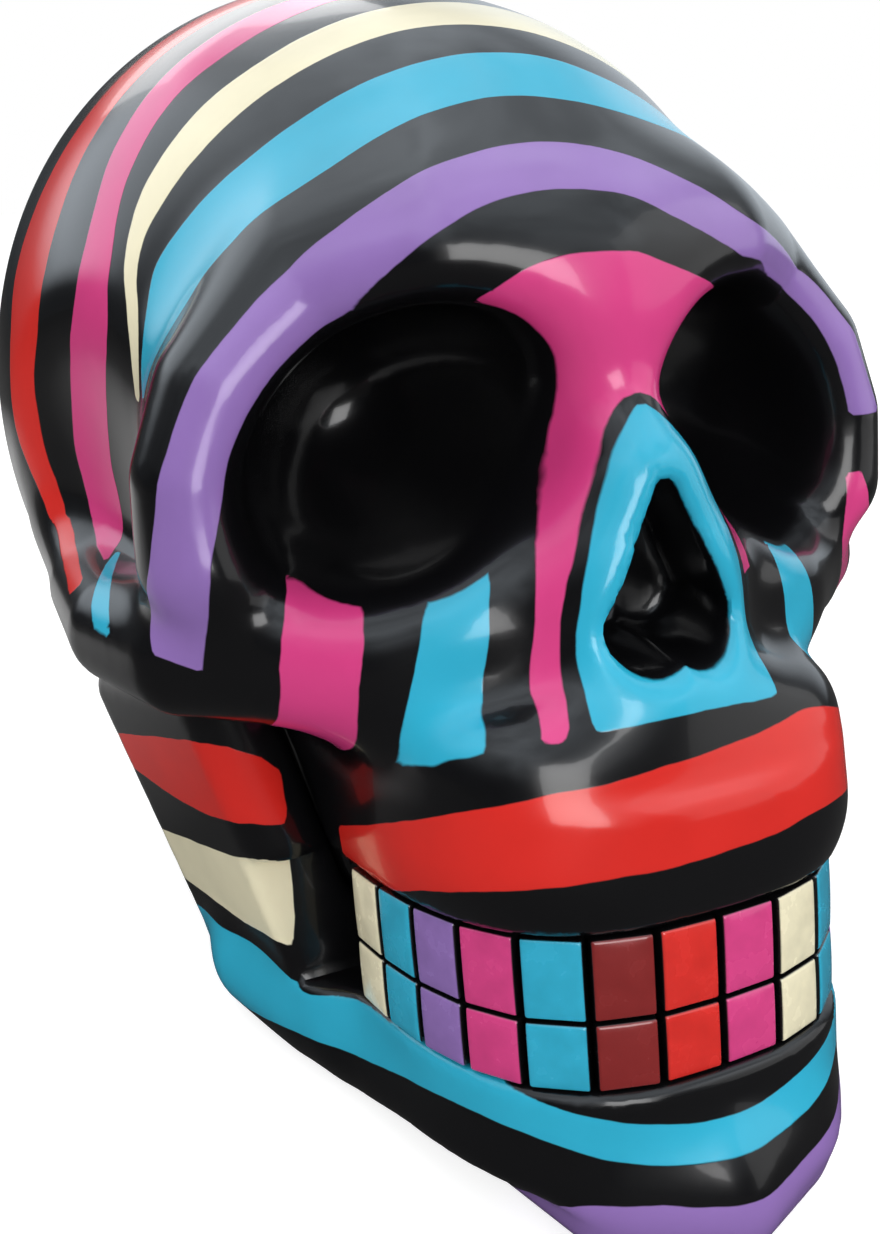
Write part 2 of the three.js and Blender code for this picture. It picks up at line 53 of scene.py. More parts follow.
# Rounded masses and hollows: middle, size, and turns in degrees.
VAULT_CENTRE, VAULT_SIZE, VAULT_PITCH = (0, 93.5, 93), (134, 183, 142), 7.5
HEEL_CENTRE, HEEL_SIZE = (0, 92, 36), (78, 96, 92)
THROAT_CENTRE, THROAT_SIZE = (0, 44, 40), (90, 50, 84)
FOREHEAD_CENTRE, FOREHEAD_SIZE = (0, 57, 110), (80, 106, 90)
TEMPLE_CENTRE, TEMPLE_SIZE = (77, 47, 92), (46, 64, 68)
EYE_CENTRE, EYE_SIZE, EYE_TURN, EYE_SLANT = (26.9, 11, 101.4), (42, 68, 29), 6, 39
NOSE_SIDE_CENTRE, NOSE_SIDE_SIZE, NOSE_SIDE_PITCH = (0, 0, 82), (32, 31, 46), -14
CHEEK_CENTRE, CHEEK_SIZE, CHEEK_TURN = (18, 14, 79), (48, 38, 46), 20
RAMUS_CENTRE, RAMUS_SIZE, RAMUS_ROUND = (43, 41.5, 32), (13, 44, 68), 6
RAMUS_LEAN, RAMUS_SPLAY, RAMUS_TURN = 15, 13, 12

# Tapered bars, each a row of balls: out, back, up, radius.
BROW = [(0, 13, 121, 10.5), (18, 16, 121.5, 10), (32, 25, 117.5, 9), (45, 23, 107, 8.5), (49.5, 22, 97, 8.5),
        (49.5, 21, 87, 9)]
BRIDGE = [(0, 11, 114, 6.5), (0, 6.5, 106, 5.7), (0, -3, 98.5, 6.5)]
CHEEKBONE = [(30.5, 12.5, 73.5, 10.5), (41, 20, 73.5, 10.5), (52, 28, 72, 9), (57.5, 44, 71, 8.5),
             (58.5, 62, 72, 7.5), (57, 82, 76, 6.5)]
JAW_BORDER = [(0, -28.5, 9.5, 10.5), (10.5, -24.5, 9, 10), (21.5, 3, 9.2, 9), (34, 27, 9, 9), (40, 42, 10, 9)]
NOSE = [(3.6, 0, 81.6, 5.3), (0, 0, 97.6, 1.4)]
NOSE_FLOOR = 2  # how far back the nose hole goes

# Blocks with a horseshoe outline, on the tilted plane where the tooth rows meet.
BITE = (0, -27.8, 36.5)  # where the rows meet in front
BITE_TILT = 10  # degrees, back of the rows down
ARCH_WIDTH, ARCH_LENGTH, ARCH_SQUARENESS = 68, 112, 2.8
TOOTH_DEPTH, UPPER_TOOTH, LOWER_TOOTH = 5, 10.8, 9
REBATE_CLEAR = 0.5  # above and below the teeth
ROW_END = 52  # how far back the rows run
TOOTH_ARCH = dict(width=ARCH_WIDTH, length=ARCH_LENGTH, squareness=ARCH_SQUARENESS)
MUZZLE = dict(width=67, length=88, squareness=3.5, proud=2.2, bottom=11, top=39, back=60, rounding=BROAD,
              lean=7)
UPPER_GUM = dict(TOOTH_ARCH, proud=0, bottom=0.15, top=26, back=60, rounding=2)
LOWER_GUM = dict(TOOTH_ARCH, proud=1.5, bottom=-24, top=-0.15, back=56, rounding=2)
TONGUE = dict(width=ARCH_WIDTH - 30, length=ARCH_LENGTH * 2, squareness=ARCH_SQUARENESS, proud=-13.5,
              bottom=-48, top=24, back=ARCH_LENGTH, rounding=CRISP)


# A form gives each point its distance from a surface in millimetres, negative inside.


def run_together(a, b, rounding):
    reach = np.maximum(rounding - np.abs(a - b), 0) / rounding
    return np.minimum(a, b) - reach * reach * rounding / 4


def carve(body, hollow, rounding):
    return -run_together(-body, hollow, rounding)


def turned_by(turn, pitch, slant):
    """A slant about the axis to the back, then a pitch about the sideways one, then a turn."""
    return np.array(Matrix.Rotation(math.radians(turn), 3, "Z") @ Matrix.Rotation(math.radians(pitch), 3, "X")
                    @ Matrix.Rotation(math.radians(slant), 3, "Y"))


def egg(p, centre, size, pitch=0, turn=0, slant=0):
    half = np.array(size) / 2
    q = (p - np.array(centre)) @ turned_by(turn, pitch, slant) / half
    radius = np.linalg.norm(q, axis=1) + 1e-9
    return radius * (radius - 1) / (np.linalg.norm(q / half, axis=1) + 1e-12)


def bar(p, balls):
    nearest = np.full(len(p), np.inf)
    for start, end in zip(np.array(balls, float), np.array(balls[1:], float)):
        along = end[:3] - start[:3]
        share = np.clip((p - start[:3]) @ along / (along @ along), 0, 1)[:, None]
        reach = np.linalg.norm(p - start[:3] - share * along, axis=1)
        nearest = np.minimum(nearest, reach - (start[3] + share[:, 0] * (end[3] - start[3])))
    return nearest


def in_mouth(p):
    return (p - np.array(BITE)) @ np.array(Matrix.Rotation(-math.radians(BITE_TILT), 3, "X"))


def horseshoe(q, width, length, squareness, proud):
    half_width, half_length = width / 2, length / 2
    x = np.abs(q[:, 0]) / half_width
    y = np.abs(q[:, 1] + proud - half_length) / half_length
    radius = (x ** squareness + y ** squareness) ** (1 / squareness) + 1e-9
    steep = np.hypot((x / radius) ** (squareness - 1) / half_width,
                     (y / radius) ** (squareness - 1) / half_length)
    return (radius - 1) / (steep + 1e-9)


def arch_block(p, width, length, squareness, proud, bottom, top, back, rounding, lean=0):
    q = in_mouth(p)
    q[:, 1] -= q[:, 2] * math.tan(math.radians(lean))
    ends = np.maximum(np.maximum(q[:, 2] - top, bottom - q[:, 2]), q[:, 1] - back)
    return -run_together(-horseshoe(q, width, length, squareness, proud), -ends, rounding)


def tooth_rebate(p):
    q = in_mouth(p)
    behind = horseshoe(q, **TOOTH_ARCH, proud=0) + TOOTH_DEPTH
    return np.maximum(np.maximum(q[:, 2] - UPPER_TOOTH - REBATE_CLEAR, -LOWER_TOOTH - REBATE_CLEAR - q[:, 2]),
                      np.maximum(-behind, q[:, 1] - ROW_END))


def nose_hole(p):
    flat = p * np.array((1, 0, 1))
    return -run_together(-bar(flat, NOSE), NOSE_FLOOR - p[:, 1], NOSE_ROUND)


def along_ramus(p):
    return (p - np.array(RAMUS_CENTRE)) @ turned_by(-RAMUS_TURN, -RAMUS_LEAN, RAMUS_SPLAY)


def ramus_plate(p):
    past = np.abs(along_ramus(p)) - (np.array(RAMUS_SIZE) / 2 - RAMUS_ROUND)
    return np.linalg.norm(np.maximum(past, 0), axis=1) + np.minimum(past.max(axis=1), 0) - RAMUS_ROUND


def jaw_mass(p):
    gum = carve(arch_block(p, **LOWER_GUM), arch_block(p, **TONGUE), CRISP)
    body = run_together(bar(p, JAW_BORDER), gum, CLOSE)
    return run_together(body, ramus_plate(p), CLOSE)


def folded(p):
    """Points of both halves laid on the left half."""
    return np.column_stack((np.abs(p[:, 0]), p[:, 1:]))


def cranium_form(p):
    p = folded(p)
    form = run_together(egg(p, VAULT_CENTRE, VAULT_SIZE, VAULT_PITCH), egg(p, HEEL_CENTRE, HEEL_SIZE), SOFT)
    form = run_together(form, egg(p, THROAT_CENTRE, THROAT_SIZE), BROAD)
    form = run_together(form, egg(p, FOREHEAD_CENTRE, FOREHEAD_SIZE), BROAD)
    form = carve(form, egg(p, TEMPLE_CENTRE, TEMPLE_SIZE), BROAD)
    form = run_together(form, bar(p, BROW), FLOWING)
    form = run_together(form, bar(p, BRIDGE), CLOSE)
    form = run_together(form, egg(p, NOSE_SIDE_CENTRE, NOSE_SIDE_SIZE, NOSE_SIDE_PITCH), CLOSE)
    form = run_together(form, arch_block(p, **MUZZLE), BROAD)
    form = run_together(form, arch_block(p, **UPPER_GUM), CRISP)
    form = run_together(form, egg(p, CHEEK_CENTRE, CHEEK_SIZE, turn=CHEEK_TURN), CLOSE)
    form = run_together(form, bar(p, CHEEKBONE), CLOSE)
    form = carve(form, egg(p, EYE_CENTRE, EYE_SIZE, turn=EYE_TURN, slant=EYE_SLANT), BROAD)
    form = carve(form, nose_hole(p), NOSE_ROUND)
    form = carve(form, tooth_rebate(p), FINE)
    return carve(form, jaw_mass(p) - SEAT_GAP, FINE)


SETTLING_ROUNDS = 4  # each draws the skin's points onto the form
SLOPE_STEP = 0.02  # either side of a point, to measure the form's slope
LEAST_SLOPE = 0.2  # squared; keeps a step short where the form is nearly flat


def skin(form, low, high, spacing):
    """Points and four-sided faces where a form, alike left and right, changes sign on a grid."""
    half, *lines = [np.arange(a, b + spacing, spacing) for a, b in zip((0, *low), high)]
    slices = [np.stack(np.meshgrid(x, *lines, indexing="ij"), -1).reshape(-1, 3) for x in half]
    values = np.stack([form(points) for points in slices])
    values = np.concatenate((values[:0:-1], values)).reshape(-1, len(lines[0]), len(lines[1]))
    lines.insert(0, np.concatenate((-half[:0:-1], half)))
    counts = values.shape
    total, hits = np.zeros((values.size, 3)), np.zeros(values.size)
    strides = np.array((counts[1] * counts[2], counts[2], 1))
    origin, cut_edges = np.array([line[0] for line in lines]), []
    for axis in range(3):
        first = np.take(values, range(counts[axis] - 1), axis)
        second = np.take(values, range(1, counts[axis]), axis)
        nodes = np.argwhere((first < 0) != (second < 0))
        v0, v1 = first[tuple(nodes.T)], second[tuple(nodes.T)]
        point = origin + nodes * spacing
        point[:, axis] += spacing * v0 / (v0 - v1)
        u, v = strides[(axis + 1) % 3], strides[(axis + 2) % 3]
        cells = (nodes @ strides)[:, None] + np.array((-u - v, -v, 0, -u))
        for k in range(4):
            np.add.at(total, cells[:, k], point)
            np.add.at(hits, cells[:, k], 1)
        cut_edges.append(np.where((v0 < 0)[:, None], cells, cells[:, ::-1]))
    used = np.flatnonzero(hits)
    number = np.full(values.size, -1)
    number[used] = np.arange(len(used))
    points = total[used] / hits[used, None]
    steps = np.eye(3) * SLOPE_STEP
    for _ in range(SETTLING_ROUNDS):
        value = form(points)
        slope = np.stack([form(points + step) - form(points - step) for step in steps], -1) / (2 * SLOPE_STEP)
        shift = slope * (value / np.maximum((slope ** 2).sum(1), LEAST_SLOPE))[:, None]
        points -= np.clip(shift, -spacing / 3, spacing / 3)
    return points, number[np.concatenate(cut_edges)]


def piece_from(name, points, faces):
    """A mesh piece from points in millimetres about the bridge of the nose, in the row frame."""
    mesh = bpy.data.meshes.new(name)
    mesh.from_pydata((points - np.array((0, BRIDGE_FORWARD, 0))) / 1000, [], faces.tolist())
    piece = bpy.data.objects.new(name, mesh)
    bpy.context.collection.objects.link(piece)
    bpy.ops.object.select_all(action="DESELECT")
    piece.select_set(True)
    bpy.context.view_layer.objects.active = piece
    return piece


def shade_smooth(crease):
    bpy.ops.object.shade_smooth_by_angle(angle=math.radians(crease))


def cut_flat_below(height):
    """Cuts the active piece level at that height in millimetres and closes it with a flat face."""
    bpy.ops.object.mode_set(mode="EDIT")
    bpy.ops.mesh.select_all(action="SELECT")
    bpy.ops.mesh.bisect(plane_co=(0, 0, height / 1000), plane_no=(0, 0, 1), use_fill=True, clear_inner=True)
    bpy.ops.object.mode_set(mode="OBJECT")
    shade_smooth(crease=50)


def disc(wide, thick, out, back, up, sides=64):
    """An upright cylinder with its middle at that place in millimetres; it becomes the active piece."""
    bpy.ops.object.select_all(action="DESELECT")
    bpy.ops.mesh.primitive_cylinder_add(vertices=sides, radius=wide / 2000, depth=thick / 1000,
                                        location=(out / 1000, (back - BRIDGE_FORWARD) / 1000, up / 1000))
    bpy.ops.object.transform_apply(location=True)
    return bpy.context.object


cranium = piece_from("cranium_casting", *skin(cranium_form, CRANIUM_LOW, CRANIUM_HIGH, CASTING_GRAIN))
cut_flat_below(TABLE_CLEAR)

PLUG_BACK, PLUG_SEAT_WIDE, PLUG_SEAT_TOP = 92, 26.6, 6.2
seat_cutter = disc(PLUG_SEAT_WIDE, PLUG_SEAT_TOP * 2, 0, PLUG_BACK, 0)
bpy.context.view_layer.objects.active = cranium
seat = cranium.modifiers.new("plug_seat", "BOOLEAN")
seat.object, seat.operation, seat.solver = seat_cutter, "DIFFERENCE", "EXACT"
bpy.ops.object.modifier_apply(modifier=seat.name)
bpy.data.objects.remove(seat_cutter)

# Paint of the cranium: flat stripes, each brushed up to a black line. Bands ring the head from brow to back;
# an angle round the head's long axis says where along a band, and one from front to back says how far.

AXIS_BACK, AXIS_UP = 45, 90  # the middle that the bands ring
RIM_OUT, RIM_UP, RIM_SLANT = 26.85, 101.4, 39.4  # middle and slant of the eye's painted rim
RIM_HALF_LENGTH, RIM_HALF_HEIGHT = 21.9, 15.4
RIM_BACK = 46  # no rim lies further back
UNLIMITED = 50  # more than any stripe's depth
FACE_BACK, SOCKET_BARE = 27, 1.5  # where the face's stripes stop


def eased(t, knots):
    """Smooth curve through knots of (t, value)."""
    at, value = np.array(sorted(knots), float).T
    slope = np.gradient(value, at)
    i = np.clip(np.searchsorted(at, t) - 1, 0, len(at) - 2)
    width = at[i + 1] - at[i]
    s = np.clip((t - at[i]) / width, 0, 1)
    return ((1 + 2 * s) * (1 - s) ** 2 * value[i] + s * (1 - s) ** 2 * width * slope[i]
            + s * s * (3 - 2 * s) * value[i + 1] + s * s * (s - 1) * width * slope[i + 1])


def inside_outline(across, up, corners, rounds=0):
    """Distance in millimetres from an outline, its corners cut that many times, positive inside."""
    outline = np.array(corners, float)
    for _ in range(rounds):
        after = np.roll(outline, -1, axis=0)
        outline = np.stack((outline * 0.75 + after * 0.25, outline * 0.25 + after * 0.75), 1).reshape(-1, 2)
    place = np.stack((across, up), -1)
    nearest, inside = np.full(len(place), np.inf), np.zeros(len(place), bool)
    for a, b in zip(outline, np.roll(outline, -1, axis=0)):
        along = b - a
        share = np.clip((place - a) @ along / (along @ along), 0, 1)[:, None]
        nearest = np.minimum(nearest, np.linalg.norm(place - a - share * along, axis=1))
        crosses = (a[1] > up) != (b[1] > up)
        inside ^= crosses & (across < a[0] + (up - a[1]) * along[0] / (along[1] if along[1] else 1e-9))
    return np.where(inside, nearest, -nearest)


def within(*limits):
    """Depth inside all limits at once."""
    return np.minimum.reduce(limits)


def points_of(piece, kind="co"):
    flat = np.empty(len(piece.data.vertices) * 3)
    piece.data.vertices.foreach_get(kind, flat)
    return flat.reshape(-1, 3)


def paint(piece, colour, *stripes):
    """Keeps on each point how deep it lies in the stripes of a colour, in millimetres, negative outside."""
    depth = np.max(stripes, axis=0)
    piece.data.attributes.new("paint_" + colour, "FLOAT", "POINT").data.foreach_set("value", depth)


spot = points_of(cranium) * 1000 + np.array((0, BRIDGE_FORWARD, 0))
x, y, z = spot.T
out = np.abs(x)
on_left = x > 0
per_degree = np.linalg.norm(spot - np.array((0, AXIS_BACK, AXIS_UP)), axis=1) * math.pi / 180
round_head = np.degrees(np.arctan2(-x, z - AXIS_UP))  # 0 at the crown, positive down the right side
down_side = np.abs(round_head)
to_back = np.degrees(np.arctan2(y - AXIS_BACK, np.hypot(x, z - AXIS_UP)))

slant = math.radians(RIM_SLANT)
rim_along = ((out - RIM_OUT) * math.cos(slant) - (z - RIM_UP) * math.sin(slant)) / RIM_HALF_LENGTH
rim_across = ((out - RIM_OUT) * math.sin(slant) + (z - RIM_UP) * math.cos(slant)) / RIM_HALF_HEIGHT
rim_share = np.hypot(rim_along, rim_across)
rim_steep = np.hypot(rim_along / RIM_HALF_LENGTH, rim_across / RIM_HALF_HEIGHT) + 1e-9
beyond_eye = np.where(y < RIM_BACK, (rim_share - 1) * rim_share / rim_steep, UNLIMITED)
socket = egg(folded(spot), EYE_CENTRE, EYE_SIZE, turn=EYE_TURN, slant=EYE_SLANT)
on_face = within(FACE_BACK - y, beyond_eye, socket - SOCKET_BARE)


def ring(front, back, end=math.inf):
    """Stripe between two angles to the back, as far as an angle down either side."""
    return within(to_back - front, back - to_back, end - down_side) * per_degree


def band(front, back, end=math.inf):
    """Ring with edges through knots of (angle round the head, angle to the back), kept off the eyes."""
    return within(ring(eased(round_head, front), eased(round_head, back), end), beyond_eye)


def on_cheek(outline, further_out):
    """Stripe below each eye in an outline of (out, up), further out on the left cheek."""
    return within(inside_outline(out - np.where(on_left, further_out, 0), z, outline), on_face)


def on_cheek_arch(outline, low, high):
    """Stripe over each cheek arch in an outline of (back, out), between two heights."""
    return within(inside_outline(y, out, outline), z - low, high - z)


# Edges and outlines on the face and the right side follow the photograph. The bands behind carry them on.
PURPLE_FRONT = [(-118, -25), (-97, -31.2), (-90, -33), (-81, -33.5), (-60, -36.5), (-54, -36.5), (-48, -37.5),
                (-42, -40.4), (-30, -46.2), (-12, -47.1), (0, -44.6), (23, -41.1), (29, -41.1), (43, -38.5),
                (48, -36.8), (63, -36), (68, -37), (100, -37), (118, -37)]
PURPLE_BACK = [(-112, -23), (-96, -23.6), (-81, -28), (-70, -28.5), (-52, -31.5), (-42, -36.5), (-32, -41.3),
               (-18, -41), (0, -36.6), (12, -33.8), (24, -32.8), (36, -31.2), (48, -28.7), (70, -26.6),
               (88.2, -25.8), (92.1, -25.1), (101.7, -20.7), (104.6, -21.3), (112, -23)]
RIM_GAP = [(-60, 2.5), (-45, 1.9), (-30, 0.6), (34, 0.6), (46, 1.6), (60, 1.4), (75, 2), (83.7, 2.8),
           (91.6, 6.2), (102.6, 12.4), (108, 16.6)]  # angle round the head, width of black
PURPLE_LOW_LEFT = 98.3
PURPLE_LOW_RIGHT, PURPLE_LOW_OUT, PURPLE_LOW_RISE = 73.4, 52.6, 0.28  # height, and its rise further out
PURPLE_BEHIND = (43, 50, 118)  # front, back and end of the band behind, in degrees

purple_low = np.where(on_left, PURPLE_LOW_LEFT, PURPLE_LOW_RIGHT + PURPLE_LOW_RISE * (out - PURPLE_LOW_OUT))
purple = within(band(PURPLE_FRONT, PURPLE_BACK), beyond_eye - eased(round_head, RIM_GAP), z - purple_low)
paint(cranium, "purple", purple, ring(*PURPLE_BEHIND))

BLUE_FRONT = [(-75, -4.5), (-70, -9), (-60, -12.4), (-46, -16.6), (-34, -22.6), (-23, -26.4), (-12, -27.3),
              (12, -22.9), (24, -21), (36, -19.6), (48, -16.6), (55.4, -13.9), (58.5, -13.7), (66.3, -10.6),
              (70, -8.6), (75, -4.5)]
BLUE_BACK = [(-75, -4.5), (-70, -3.6), (-57, 0), (-47, -4), (-24, -15), (-12, -16.9), (0, -15), (36, -5),
             (48, -1.2), (58.3, -0.2), (60.9, -1.2), (75, -4.5)]
TEMPLE_END = 75  # where the blue and cream bands end, in degrees
BLUE_BEHIND = (57, 63.5, 124)
NOSE_SURROUND = [(-4, 108.6), (0, 107.6), (2.2, 106.2), (4.4, 103.9), (6.3, 100.9), (10.7, 90.4),
                 (12.4, 82.7), (12.8, 76), (13.3, 73.2), (13.5, 71.4), (11, 71.6), (2.4, 72.5), (-4, 72.6)]
NOSE_BARE, NOSE_BLUE_BACK = 0.4, 9
CHEEK_BLUE = [(18, 92), (20.8, 84.9), (22.9, 73.1), (24.6, 71), (25.6, 69.1), (28.8, 67.4), (31.5, 64.7),
              (32.5, 62.9), (31.8, 68.4), (29.7, 78.5), (28.4, 82.3), (26.2, 85.6), (24, 92)]
CHEEK_BLUE_SHIFT = 2
ARCH_BLUE = [(51.5, 56), (48.3, 57.4), (43.5, 58.9), (31, 61.9), (36.2, 63.3), (39.5, 62.8), (48.7, 59),
             (52, 57)]
ARCH_BLUE_LOW, ARCH_BLUE_HIGH = 70, 82

nose_surround = within(inside_outline(out, z, NOSE_SURROUND, rounds=2), nose_hole(folded(spot)) - NOSE_BARE,
                       NOSE_BLUE_BACK - y)
paint(cranium, "blue", band(BLUE_FRONT, BLUE_BACK, TEMPLE_END), ring(*BLUE_BEHIND), nose_surround,
      on_cheek(CHEEK_BLUE, CHEEK_BLUE_SHIFT), on_cheek_arch(ARCH_BLUE, ARCH_BLUE_LOW, ARCH_BLUE_HIGH))

CREAM_FRONT = [(-75, -2.2), (-66, 0), (-54, 4.6), (-42, 1.5), (-28, -4.8), (-14, -8.6), (0, -6.6), (12, -2.7),
               (48, 4.6), (55, 4.2), (59.3, 2.4), (61.6, 0.8), (71.1, -2.3), (75, -2.4)]
CREAM_BACK = [(-75, -1), (-66, 1.5), (-57, 6.6), (-45, 10), (-30, 7.4), (-15, 5.2), (24, 8.6), (36, 10.3),
              (59.8, 4.8), (62, 3.4), (71.4, 0.2), (75, -0.2)]
CREAM_BEHIND = (70, 75, 130)

paint(cranium, "cream", band(CREAM_FRONT, CREAM_BACK, TEMPLE_END), ring(*CREAM_BEHIND))

# The pink band is alike on both sides, apart from the crown.
PINK_FRONT = [(36, 16.2), (48, 13.4), (60.8, 7.9), (66.4, 7), (69.8, 8), (73.4, 9.6), (89.3, 13.3),
              (93.1, 11.8), (100, 9)]
PINK_FRONT_CROWN = [(-18, 15.5), (0, 15.4), (14, 15.8), (26, 16)]
PINK_BACK = [(36, 21.9), (48, 18.8), (55, 16), (65.1, 14.7), (72, 17.4), (79.4, 20.2), (91, 20.8),
             (97.9, 16.7), (100, 13)]
PINK_BACK_CROWN = [(-18, 22.4), (0, 22.4), (14, 22.4), (26, 22.4)]
PINK_END = 98.6
PINK_BEHIND = (80, 84)
ARCH_PINK = [(64, 54.6), (54.3, 55), (53.2, 56.6), (49.9, 58.8), (57.4, 58.7), (64, 58)]
ARCH_PINK_LOW, ARCH_PINK_HIGH = 78, 83
NOSE_PINK = [(-6, 125.3), (6.5, 125.3), (9.1, 125), (11.9, 124.3), (14, 123.3), (16, 121.8), (18.4, 119.4),
             (15, 118.5), (11.4, 115.8), (8.7, 112), (7.5, 109.3), (7.3, 107), (7.4, 104.4), (7.9, 101.9),
             (8.7, 99.6), (12.8, 93.2), (14.5, 90.3), (15.6, 87.2), (16.3, 83.2), (16.8, 78.5), (17.8, 74),
             (19, 71.8), (19.9, 70.4), (16.8, 70.6), (15.2, 74), (14.3, 76.9), (13.5, 84.9), (12.4, 88.7),
             (7.8, 99.1), (4, 106.1), (1.6, 108.6), (-6, 109.4)]
NOSE_PINK_BACK = 14
LEFT_TOP, LEFT_FALL, LEFT_LOW = 125.4, 0.36, 85  # left of the nose: top edge, its fall further out, lower end
OVER_RIM_BELOW, OVER_RIM_RATE, OVER_RIM = 107, 0.6, 6  # the pink runs this far over the eye's rim, lower down
CHEEK_PINK = [(38, 90), (40, 85), (42.3, 82.4), (43.7, 79), (44.4, 75), (44.2, 60), (35.4, 60), (36.3, 69.1),
              (36.2, 73.7), (35.7, 77.7), (34.7, 80.9), (33, 83.6), (31, 89)]
CHEEK_PINK_SHIFT, CHEEK_PINK_LEFT = 12.5, 48


def mirrored_band(knots):
    return [(-angle, value) for angle, value in knots]


pink = band(mirrored_band(PINK_FRONT) + PINK_FRONT_CROWN + PINK_FRONT,
            mirrored_band(PINK_BACK) + PINK_BACK_CROWN + PINK_BACK, PINK_END)
left_of_nose = np.where(on_left, within(LEFT_TOP - LEFT_FALL * x - z, z - LEFT_LOW), UNLIMITED)
nose_pink = within(inside_outline(out, z, NOSE_PINK, rounds=1), left_of_nose, NOSE_PINK_BACK - y,
                   beyond_eye + np.clip((OVER_RIM_BELOW - z) * OVER_RIM_RATE, 0, OVER_RIM))
cheek_pink = within(on_cheek(CHEEK_PINK, CHEEK_PINK_SHIFT),
                    np.where(on_left, out - CHEEK_PINK_LEFT, UNLIMITED))
paint(cranium, "pink", pink, ring(*PINK_BEHIND), nose_pink, cheek_pink,
      on_cheek_arch(ARCH_PINK, ARCH_PINK_LOW, ARCH_PINK_HIGH))

RED_FRONT = [(0, 27), (48, 26), (57, 24), (67.2, 22.6), (81.1, 25.7), (91.9, 24.9), (95.5, 23.4),
             (98.3, 19.9), (100.2, 13.7)]
RED_BACK = [(0, 33.5), (48, 33.5), (58, 33.5), (66.5, 33), (72.3, 31.2), (79, 30.2), (82.5, 30.2),
            (92.7, 27.9), (96, 26.2), (98.8, 22.6), (100.6, 16.3)]
RED_END = 98.8
RED_CAP = 87.5  # from this angle the back of the head is red
ARCH_RED = [(78, 60.8), (64.7, 61.1), (47.1, 62.6), (47.9, 64.6), (68.5, 63.1), (78, 63.2)]
ARCH_RED_LOW, ARCH_RED_HIGH = 74, 82
MOUTH_BACK = 20  # the middle that the stripes of the muzzle and the jaw go round
LIP_TOP = [(-95, 43), (-65, 53.5), (-50, 60.4), (-36, 66.4), (-24, 69), (-15, 68.5), (20, 66.1), (26, 65.6),
           (38, 63.1), (53, 57.4), (65, 52.7), (95, 43)]  # angle round the mouth, height
LIP_BOTTOM = [(-84, 37), (-52, 48.6), (-42, 53.2), (-18, 57), (-10, 56.4), (10, 55.7), (17, 55.6), (35, 53.3),
              (68, 41), (84, 37)]
LIP_BACK = 17.5


def angle_round_mouth(spot):
    """Degrees round from the front, positive on the right side."""
    return np.degrees(np.arctan2(-spot[:, 0], MOUTH_BACK - spot[:, 1]))


round_mouth = angle_round_mouth(spot)
lip = within(eased(round_mouth, LIP_TOP) - z, z - eased(round_mouth, LIP_BOTTOM), LIP_BACK - y)
paint(cranium, "red", ring(eased(down_side, RED_FRONT), eased(down_side, RED_BACK), RED_END),
      on_cheek_arch(ARCH_RED, ARCH_RED_LOW, ARCH_RED_HIGH), (to_back - RED_CAP) * per_degree, lip)

# Lacquer of the castings: resin sprayed gloss black, stripes of opaque paint brushed on, and clear lacquer
# over all. The eye gets a deep wet black, crisp colour edges that wander by a hair, and faint orange peel.

COLOURS = {"red": "#e02a22", "dark_red": "#8a2424", "blue": "#2cb2d4", "pink": "#de4188", "purple": "#9472ba",
           "cream": "#f6eecc"}
BLACK = "#0d0d0f"
EDGE_WANDER, EDGE_SPAN, EDGE_SOFT = 0.25, 6.25, 0.12  # how far a brushed edge strays, how often, how soft
BRUSH_SPAN = 22.2  # from one brush load to the next
PEEL_SPAN, PEEL_DEPTH = 2.38, 0.06
FILM_THICK = 0.08  # of the paint


def linear(code):
    parts = [int(code[i:i + 2], 16) / 255 for i in (1, 3, 5)]
    return tuple(c / 12.92 if c <= 0.04045 else ((c + 0.055) / 1.055) ** 2.4 for c in parts) + (1,)


def add(tree, kind, settings=None, **links):
    """Adds a node; settings go to its properties or sockets, links join its sockets to other nodes."""
    node = tree.nodes.new(kind)
    for name, value in (settings or {}).items():
        if name in node.inputs:
            node.inputs[name].default_value = value
        else:
            setattr(node, name, value)
    for name, source in links.items():
        tree.links.new(source, node.inputs[int(name[1:]) if name[0] == "_" else name])
    return node


def new_material(name):
    material = bpy.data.materials.new(name)
    material.use_nodes = True
    material.node_tree.nodes.clear()
    return material, material.node_tree


def noise(tree, place, span, detail, distortion=0.0):
    """Cloudy pattern with patches of that span in millimetres."""
    settings = {"Scale": 1000 / span, "Detail": detail, "Distortion": distortion}
    return add(tree, "ShaderNodeTexNoise", settings, Vector=place).outputs["Fac"]


def ranged(tree, value, low, high, start=0.0, end=1.0, kind="LINEAR"):
    """Maps a value from start and end to low and high."""
    settings = {"From Min": start, "From Max": end, "To Min": low, "To Max": high, "interpolation_type": kind}
    return add(tree, "ShaderNodeMapRange", settings, Value=value).outputs["Result"]


COLOUR_A, COLOUR_B, MIXED = 6, 7, 2  # a mix node's sockets for colours


